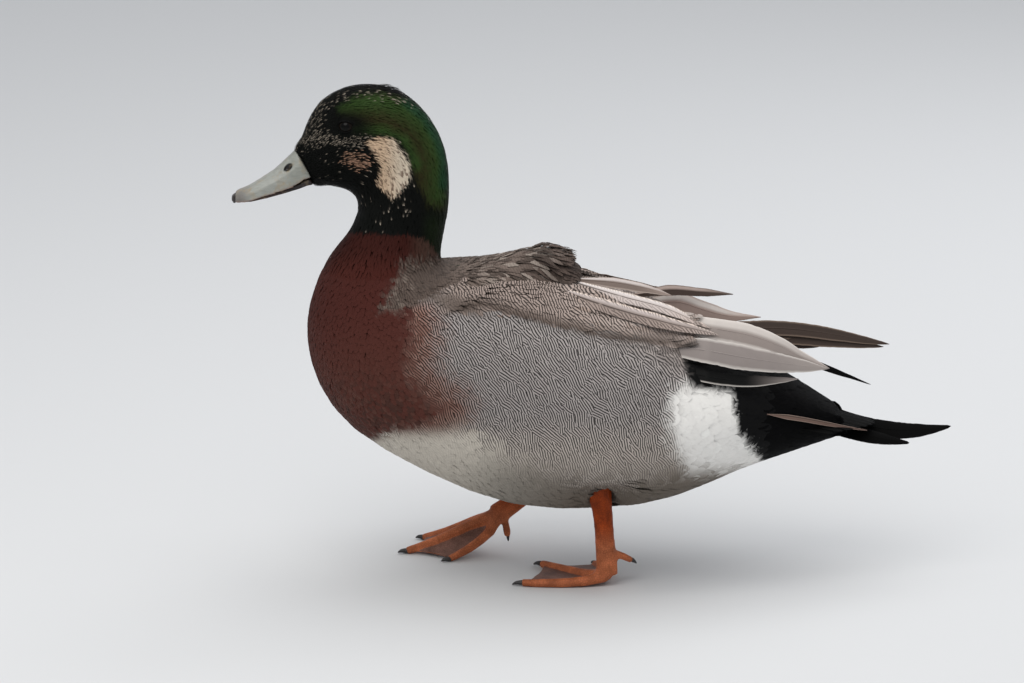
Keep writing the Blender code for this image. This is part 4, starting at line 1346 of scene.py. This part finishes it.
def build_tail(material):
    """The tail fan: stiff feathers that radiate from the tail's root, the outer ones under the inner."""
    bm = bmesh_of_nodes(["tail_fan"])
    tree = BVHTree.FromBMesh(bm)
    bm.free()
    low, high = (np.array(corner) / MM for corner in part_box("tail_fan"))
    each_side, rows, root_x = 7, 36, low[0] + 3
    t = np.linspace(0, 1, rows)

    def height(x, y):
        hit = tree.ray_cast(Vector((x, y, high[2] + 20)) * MM, Vector((0, 0, -1)))
        return None if hit[0] is None else hit[0].z / MM

    made = []
    for k in range(-each_side, each_side):
        v = (k + 0.5) / each_side
        root_y, tip_y = high[1] * 0.94 * v, high[1] * 0.80 * v
        reach = next(x for x in np.arange(high[0], root_x, -0.5) if height(x, tip_y) is not None)
        line = np.zeros((rows, 3))
        line[:, 0], line[:, 1] = root_x + (reach - root_x) * t, root_y + (tip_y - root_y) * t
        level = [height(x, y) for x, y, _ in line]
        known = [j for j in range(rows) if level[j] is not None]
        lower = 0.35 + 0.14 * abs(k + 0.5)
        line[:, 2] = np.interp(np.arange(rows), known, [level[j] for j in known]) - lower
        ahead = unit(np.gradient(line, axis=0))
        flat = unit(np.cross(np.array((0, 0, 1.0)), ahead))
        tilt = -0.30 * v
        ups = unit(np.cross(ahead, flat))
        sides = unit(flat * math.cos(tilt) + ups * math.sin(tilt))
        ups = np.cross(ahead, sides)
        half = 3.4 * np.sqrt(np.clip((1 - t) / 0.10, 0, 1)) * np.interp(t, (0, 0.5, 1), (0.8, 1, 1)) + 0.1
        made.append(vane_piece(f"tail_{k + each_side}", line, sides, ups, half,
                               vane_paint(*TAIL_COLOURS, seed=60 + k), thick=0.3))
    finish_piece(join_objects("tail_feathers", made), [material], ["tail_fan"])


QUILL_COLOURS = ((0.16, 0.105, 0.085), (0.40, 0.30, 0.25), (0.10, 0.07, 0.06), (0.08, 0.055, 0.045))


def build_side_quills(surface):
    """The outermost tail feather on each side, a slim pale-edged one that lies along the stern."""
    rows = 30
    line = curve_points(((104, 95.3), (125, 92.2), (146, 88.3), (165, 85.3)), rows)
    hits = np.full(rows, np.nan)
    inward = Vector((0, math.cos(HIGH_VIEW), -math.sin(HIGH_VIEW)))
    for k, (x, w) in enumerate(line):
        hit = surface.tree.ray_cast(Vector(leaning_place(x, w, -90.0)), inward)[0]
        if hit is not None:
            hits[k] = hit.y
    known = ~np.isnan(hits)
    depth = np.polyval(np.polyfit(line[known, 0], hits[known], 2), line[:, 0])
    depth = np.minimum(depth, np.interp(line[:, 0], (104, 165), (-30, -9))) - 4.4
    for side in SIDES:
        hand = -1 if side == "left" else 1
        middles = leaning_place(line[:, 0], line[:, 1], depth) * (1, -hand, 1)
        sides, ups = hang(middles, np.array((0.0, 0.35 * hand, -0.94)), np.array((0.0, hand, 0.0)))
        half = np.interp(np.linspace(0, 1, rows), (0, 0.2, 0.6, 1), (0.2, 1.5, 1.3, 0.3))
        quill = vane_piece("tail_edge_" + side, middles, sides, ups, half, vane_paint(*QUILL_COLOURS))
        finish_piece(quill, [LONG_MATERIAL])


# ---------------------------------------------------------------- eyes, bill and claws
LID_PROFILE = (  # a lid's cross section: outward from the opening, rise over the ball
    (0.0, 0.02), (0.10, 0.34), (0.45, 0.52), (0.95, 0.40),
    (1.7, -0.15), (2.4, -1.2), (2.0, -1.9), (0.7, -0.7),
)


def build_eye(side, surface):
    """A wet ball with a dark iris, and a ring of lids that hugs it and sinks into the skin."""
    centre = EYE_CENTRES[side]
    ring = unit(np.random.default_rng(3).normal(size=(200, 3)))
    hand = -1 if side == "left" else 1
    ring = ring[ring[:, 1] * hand > 0.2] * 9.0 + centre
    _, normals = surface.nearest(ring)
    facing = unit(normals.mean(axis=0) * (1, 1, 0.4))
    forward = np.array((-1.0, 0, 0.06))
    forward = unit(forward - facing * (forward @ facing))
    upward = unit(np.cross(facing, forward))
    upward = upward * np.sign(upward[2])

    bm = bmesh.new()
    bmesh.ops.create_uvsphere(bm, u_segments=48, v_segments=32, radius=EYE_RADIUS * MM)
    bmesh.ops.scale(bm, vec=(0.94, 1.0, 0.84), verts=bm.verts)
    bmesh.ops.translate(bm, vec=Vector(centre) * MM, verts=bm.verts)
    ball = object_from_bmesh("eyeball_" + side, bm)
    finish_piece(ball, [eye_material(centre * MM, facing)], ["eye_" + side])

    around = np.linspace(0, math.tau, 56, endpoint=False)
    corner = np.abs(np.cos(around)) ** 6
    opening = np.where(np.sin(around) > 0, 2.75, 3.05)
    long_half = np.where(np.cos(around) > 0, 4.3, 4.5)
    inner = 1 / np.sqrt((np.cos(around) / long_half) ** 2 + (np.sin(around) / opening) ** 2)
    rings = []
    for angle, reach, point in zip(around, inner, corner):
        section = []
        for outward, rise in LID_PROFILE:
            across = reach + outward * (1 + 0.35 * point)
            most, radius = (0.995, EYE_RADIUS + 1.9) if outward > 1 else (0.98, EYE_RADIUS + 0.1)
            polar = math.asin(min(most, across / radius))
            flat = forward * math.cos(angle) + upward * math.sin(angle)
            ray = facing * math.cos(polar) + flat * math.sin(polar)
            section.append(centre + (EYE_RADIUS + rise) * ray)
        rings.append(section)
    bm = bmesh.new()
    bmesh.ops.create_circle(bm, segments=len(LID_PROFILE), radius=1.0)
    edges = list(bm.edges)
    verts = sorted(bm.verts, key=lambda v: math.atan2(v.co.y, v.co.x) % math.tau)
    for k, section in enumerate(rings):
        if k:
            grown = bmesh.ops.extrude_edge_only(bm, edges=edges)["geom"]
            edges = [g for g in grown if isinstance(g, bmesh.types.BMEdge)]
            new = {g for g in grown if isinstance(g, bmesh.types.BMVert)}
            verts = stepped(verts, new)
            edges = [e for e in edges if e.verts[0] in new and e.verts[1] in new]
        for vert, point in zip(verts, section):
            vert.co = Vector(point) * MM
    bmesh.ops.bridge_loops(bm, edges=[e for e in bm.edges if e.is_boundary])
    bmesh.ops.recalc_face_normals(bm, faces=bm.faces)
    lids = object_from_bmesh("eyelids_" + side, bm)
    finish_piece(lids, [LID_MATERIAL])


def build_bill():
    """Upper and lower bill and nail, smoothed, with roots that run on under the feathers."""
    for name, node, slot, voxel, smoothing in (
        ("bill_top", "bill_upper", "bill_horn", HORN_VOXEL, 5),
        ("bill_under", "bill_lower", "bill_horn", HORN_VOXEL, 5),
        ("bill_tip_nail", "bill_nail", "nail_horn", HORN_VOXEL / 2, 3),
    ):
        is_horn = slot == "bill_horn"
        bill = remeshed(name, bmesh_of_nodes([node]), voxel, smoothing)
        places = vertex_array(bill.data) / MM
        x, z = places[:, 0].copy(), places[:, 2].copy()
        droop = 1.5 * smooth_step(-192, -209, x)
        if is_horn:
            paint_vertices(bill.data, bill_colours(places, name))
            root = smooth_step(-171.8, -169.3, x + 0.32 * (z - 246))
            places[:, 0] += 3.0 * root - 0.9 * smooth_step(-205, -212, x)
            places[:, 1] *= 1 - 0.10 * root
        if name == "bill_top":
            edge = smooth_step(4.5, 0.5, z - np.interp(x, *TOMIUM))
            places[:, 2] -= droop + edge * 1.9 * smooth_step(-168, -178, x)
            hollow = smooth_step(1.05, 0.55, nostril_gap(places)) * (np.abs(places[:, 1]) > 3)
            places -= vertex_array(bill.data, "normal") * 0.9 * hollow[:, None]
        elif is_horn:
            places[:, 2] -= droop * 0.8
            places[:, 1] *= 0.93
        else:
            paint_vertices(bill.data, np.tile(COLOURS["nail"], (len(x), 1)))
            places += (0.7, 0, -1.9)
            places[:, 0] += 1.5 * smooth_step(x.min(), x.max(), x)
        move_vertices(bill.data, places * MM)
        finish_piece(bill, [BILL_MATERIAL if is_horn else NAIL_MATERIAL], [node])


TOMIUM = (-212, -203, -194, -185, -170), (234.0, 235.6, 237.6, 240.3, 246.6)  # the upper bill's edge


def nostril_gap(places):
    """Below 1 inside the nostrils, which slant up towards the forehead."""
    x, z = places[:, 0] + 181.4, places[:, 2] - 252.6
    return np.hypot((x * 0.755 + z * 0.656) / 3.1, (z * 0.755 - x * 0.656) / 1.7)


def bill_colours(places, piece):
    x, z = places[:, 0], places[:, 2]
    if piece == "bill_under":
        # painted shade: near black under the upper bill, less dark towards the tip
        return blend("bill_under", "bill_under_tip", smooth_step(-178, -200, x) * 0.7)
    ridge = np.interp(x, (-215, -205, -190, -177), (236, 241, 250, 262))
    side_on = np.abs(places[:, 1]) > 3
    return layered(
        "bill",
        ("bill_root", smooth_step(-186, -176, x) * 0.6),
        ("bill_tip", smooth_step(-202, -210, x) * 0.85),
        ("bill_ridge", smooth_step(2.0, 0.2, ridge - z) * 0.4),
        ("bill_edge", smooth_step(1.5, 0.2, z - np.interp(x, *TOMIUM)) * 0.75),
        # painted shade: the nostrils' openings painted near black
        ("nostril_shade", smooth_step(1.12, 0.92, nostril_gap(places)) * side_on),
    )


HIND_AXES = {"claw_hind_left": (-0.6, 0, 0.8), "claw_hind_right": (0, 0, 1)}  # towards the claw's root


def reach_into_toe(bm, name):
    """Moves a claw's root back into its toe, so that no gap shows."""
    low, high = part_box(name)
    own = [v for v in bm.verts if all(low[k] - 1e-5 < v.co[k] < high[k] + 1e-5 for k in range(3))]
    axis = Vector(HIND_AXES.get(name, (1, 0, 0)))
    rear = max(v.co.dot(axis) for v in own)
    for vert in own:
        if vert.co.dot(axis) > rear - 0.0016:
            vert.co += axis * 0.0011


def build_claws():
    """Short black claws, rounded off."""
    for side in SIDES:
        names = [f"claw_{toe}_{side}" for toe in ("outer", "middle", "inner", "hind")]
        bm = bmesh_of_nodes(names)
        for name in names:
            reach_into_toe(bm, name)
        claws = object_from_bmesh("claws_" + side, bm)
        subdivision = claws.modifiers.new("round", "SUBSURF")
        subdivision.levels = subdivision.render_levels = 2
        finish_piece(with_modifiers_applied(claws), [CLAW_MATERIAL], names)


def build_skin(body, legs):
    """Joins the legs to the body in one closed skin and paints both."""
    leg_surfaces = [Surface(leg.data) for leg in legs]
    for leg in legs:
        union = body.modifiers.new("leg", "BOOLEAN")
        union.operation = "UNION"
        union.solver = "MANIFOLD"
        union.object = leg
    body = with_modifiers_applied(body)
    for leg in legs:
        bpy.data.objects.remove(leg)
    places = vertex_array(body.data) / MM
    normals = vertex_array(body.data, "normal")
    gap = np.full(len(places), 1e3)
    low = np.flatnonzero(places[:, 2] < 80)
    for surface in leg_surfaces:
        found = np.array([surface.tree.find_nearest(Vector(places[k]))[3] for k in low])
        gap[low] = np.minimum(gap[low], found)
    is_leg = gap < 0.02
    even = np.zeros(len(places))
    colour, waves = plumage(places, regions_at(places), even + 0.5, even, even)
    colour[is_leg] = leg_colours(places[is_leg], normals[is_leg], leg_surfaces)
    paint_vertices(body.data, colour, np.where(is_leg, 0, waves))
    starts = np.zeros(len(body.data.polygons), np.int32)
    body.data.polygons.foreach_get("loop_start", starts)
    on_leg = np.minimum.reduceat(is_leg[loop_vertices(body.data)].astype(np.int32), starts)
    finish_piece(body, [SKIN_MATERIAL, LEG_MATERIAL],
                 [*FLESH, *(f"{part}_{side}" for part in ("shank", "foot") for side in SIDES)])
    body.data.polygons.foreach_set("material_index", on_leg)
    body.data.update()
    print("skin:", len(body.data.polygons), "faces")


# ---------------------------------------------------------------- plumage over the skin
def grow_coat(surface, over_wings):
    """Roots, lie, size and paint of every feather, then the joined pieces of the coat. The
    left wing's feathers lie on the long vanes too."""

    def usable(points):
        """Leaves out the eyes, the places under the legs and the ends of the wings and mantle."""
        x, y, z = points.T
        near_leg, far_leg = np.hypot(x - 5, y + 31), np.hypot((x + 28) / 1.5, y - 37)
        clear = ((near_leg > 10) & (far_leg > 9)) | (z > 80)
        region = regions_at(points)
        wing = in_parts(region, *WINGS)
        clear &= ~wing | (wing_reach(points) - x > 13)
        clear &= ~wing | (inside("stern", *leaning_plane(points)) < -1)
        clear &= ~in_parts(region, "mantle") | (x < -20) | (z > 186)
        clear &= ~in_parts(region, "stern") | (x < 142)
        return (eye_gap(points) > 1.1) & clear

    roots = surface.scatter(lambda points: feather_sizes(points, regions_at(points))[2], usable)
    roots, normals = surface.nearest(roots)
    region = regions_at(roots)
    along, _, spine = spine_place(roots)
    count = len(roots)
    length, width, _ = feather_sizes(roots, region)
    length = length * rng.uniform(0.88, 1.12, count)
    width = width * rng.uniform(0.88, 1.12, count)
    yaw = rng.normal(0, 1, count) * np.where(in_parts(region, "mantle"), 0.20, 0.085)
    lie = unit(spine - (spine * normals).sum(axis=1, keepdims=True) * normals)
    across = np.cross(normals, lie)
    lie = unit(lie + across * yaw[:, None])
    loose = in_parts(region, "mantle", *WINGS)
    rise = coat_depth(roots, region) * rng.uniform(np.where(loose, 0.75, 0.91), 0.98)
    chance = rng.random(count)
    wander = np.clip(rng.normal(0, 0.8, count), -1.3, 1.3)
    tone = rng.normal(1, 0.022, count)
    ridge = smooth_step(16, 8, np.abs(roots[:, 1]))
    knob = in_parts(region, "mantle") * smooth_step(-44, -36, roots[:, 0]) * ridge
    knob = knob * smooth_step(-19, -22, roots[:, 0])
    rise = rise + knob * rng.uniform(3.5, 6.5, count)
    crest = (roots[:, 2] > 290) * smooth_step(-131, -127, roots[:, 0])
    crest = crest * smooth_step(-119, -122, roots[:, 0]) * ridge
    rise = rise + crest * rng.uniform(0.4, 1.6, count)
    coat = Coat(roots, normals, lie, length, width, rise, region, chance, wander, tone)

    in_wing = in_parts(region, *WINGS)
    in_wing &= wing_reach(roots) - roots[:, 0] > 12
    in_trunk = in_parts(region, "trunk")
    left = roots[:, 1] < 0
    belly = in_trunk & (leaning_plane(roots)[1] < 75)
    breast = in_trunk & ~belly & (along < 0.60)
    back = on_back(roots, region)
    flank = in_trunk & ~belly & ~breast & ~back
    for label, mask, material, slot, style, thick in (
        ("head", in_parts(region, "head"), HEAD_MATERIAL, "head_feathers", "hair", 0.13),
        ("neck", in_parts(region, "neck"), HEAD_MATERIAL, "head_feathers", "small", 0.16),
        ("breast", breast, BODY_MATERIAL, "flank_feathers", "small", 0.12),
        ("flank", flank, BODY_MATERIAL, "flank_feathers", "blade", 0.15),
        ("belly", belly, BODY_MATERIAL, "flank_feathers", "blade", 0.15),
        ("back", back, BODY_MATERIAL, "wing_feathers", "blade", 0.16),
        ("wing", in_wing, BODY_MATERIAL, "wing_feathers", "blade", 0.16),
        ("mantle", in_parts(region, "mantle"), BODY_MATERIAL, "wing_feathers", "blade", 0.16),
        ("stern", in_parts(region, "stern"), BLACK_MATERIAL, "stern_feathers", "blade", 0.16),
    ):
        for side, half in (("left", left), ("right", ~left)):
            over = label == "wing" and side == "left"
            coat.part(mask & half).build(f"coat_{label}_{side}", material, slot,
                                         over_wings if over else surface, style, thick, over)


# ---------------------------------------------------------------- stage
LIT_PLACE = Vector((0, 0, 0.12))  # what the lamps point at, in metres
CAMERA_AIM, CAMERA_DISTANCE = Vector((-0.048, 0, 0.1435)), 5.0
SENSOR_WIDTH, LENS = 36.0, 293.0  # in mm
LAMPS = (  # name, place, size, power and colour
    ("key", (-0.5, -0.9, 1.5), 1.4, 16.0, (1.0, 0.97, 0.93)),
    ("top", (0.1, 0.3, 1.8), 1.8, 14.0, (1.0, 0.99, 0.97)),
    ("back", (0.8, 1.0, 0.9), 1.0, 4.0, (0.98, 0.98, 1.0)),
)


def build_stage():
    floor_material, tree, shader = new_material("pale_floor")
    fill(tree, shader, {"Base Color": (0.62, 0.63, 0.64, 1), "Roughness": 0.7})
    bm = bmesh.new()
    bmesh.ops.create_grid(bm, x_segments=1, y_segments=1, size=30.0)
    floor = object_from_bmesh("floor", bm)
    floor.data.materials.append(floor_material)

    world = bpy.data.worlds.new("studio")
    bpy.context.scene.world = world
    world.use_nodes = True
    background = world.node_tree.nodes["Background"]
    background.inputs[0].default_value = (0.94, 0.96, 1.0, 1)
    background.inputs[1].default_value = 0.55
    for name, place, size, power, colour in LAMPS:
        light = bpy.data.lights.new(name, "AREA")
        light.shape = "DISK"
        light.size = size
        light.energy = power
        light.color = colour
        lamp = object_of(name, light)
        lamp.location = place
        lamp.rotation_euler = (LIT_PLACE - Vector(place)).to_track_quat("-Z", "Y").to_euler()


def build_camera():
    """Looks along +Y from above the floor, from far away through a long lens."""
    camera_data = bpy.data.cameras.new("camera")
    camera_data.sensor_width = SENSOR_WIDTH
    camera_data.lens = LENS
    camera_data.clip_end = 60.0
    camera = object_of("camera", camera_data)
    back = Vector((0, -math.cos(HIGH_VIEW), math.sin(HIGH_VIEW)))
    camera.location = CAMERA_AIM + back * CAMERA_DISTANCE
    camera.rotation_euler = (-back).to_track_quat("-Z", "Y").to_euler()
    bpy.context.scene.camera = camera


# ---------------------------------------------------------------- the duck, put together
SPINE_LINE = curve_points(SPINE, 90)
REGION_TREE, REGION_OWNERS = node_regions()
EYE_CENTRES, EYE_RADIUS = {}, 0.0
for side_name in SIDES:
    eye_low, eye_high = (np.array(corner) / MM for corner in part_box("eye_" + side_name))
    EYE_CENTRES[side_name] = (eye_low + eye_high) / 2 + (0.5, 0, -0.9)
    EYE_RADIUS = float((eye_high - eye_low)[1]) / 2

SKIN_MATERIAL = skin_material()
LEG_MATERIAL = leg_material()
BILL_MATERIAL = bill_material()
NAIL_MATERIAL = horn_material("nail_horn", (0.020, 0.015, 0.014), 0.35)
CLAW_MATERIAL = horn_material("claw_horn", (0.022, 0.020, 0.020), 0.40)
LID_MATERIAL = horn_material("lid_skin", (0.0030, 0.0030, 0.0030), 0.8, 0.05)
BODY_MATERIAL = plumage_material("body_plumage", 0.70, 0.10)
HEAD_MATERIAL = plumage_material("head_plumage", 0.52, 0.055)
BLACK_MATERIAL = plumage_material("black_plumage", 0.62, 0.025)
LONG_MATERIAL = plumage_material("long_feathers", 0.62, 0.08, barbed=False)
DARK_MATERIAL = plumage_material("dark_feathers", 0.60, 0.025, barbed=False)

body_skin = make_body_skin()
BODY_SURFACE = Surface(body_skin.data)
build_skin(body_skin, [make_leg_skin(side_name) for side_name in SIDES])
for side_name in SIDES:
    build_eye(side_name, BODY_SURFACE)
build_bill()
build_claws()
vanes = build_tertials(LONG_MATERIAL)
for side_name in SIDES:
    build_plume("tail_plume_" + side_name, DARK_MATERIAL)
build_primaries("left", DARK_MATERIAL)
build_primaries("right", LONG_MATERIAL)
build_tail(DARK_MATERIAL)
build_side_quills(BODY_SURFACE)
grow_coat(BODY_SURFACE, Surface(*(vane.data for vane in vanes), under=BODY_SURFACE))
build_scapulars(LONG_MATERIAL)
build_stage()
build_camera()
bpy.context.scene.view_settings.view_transform = "Standard"
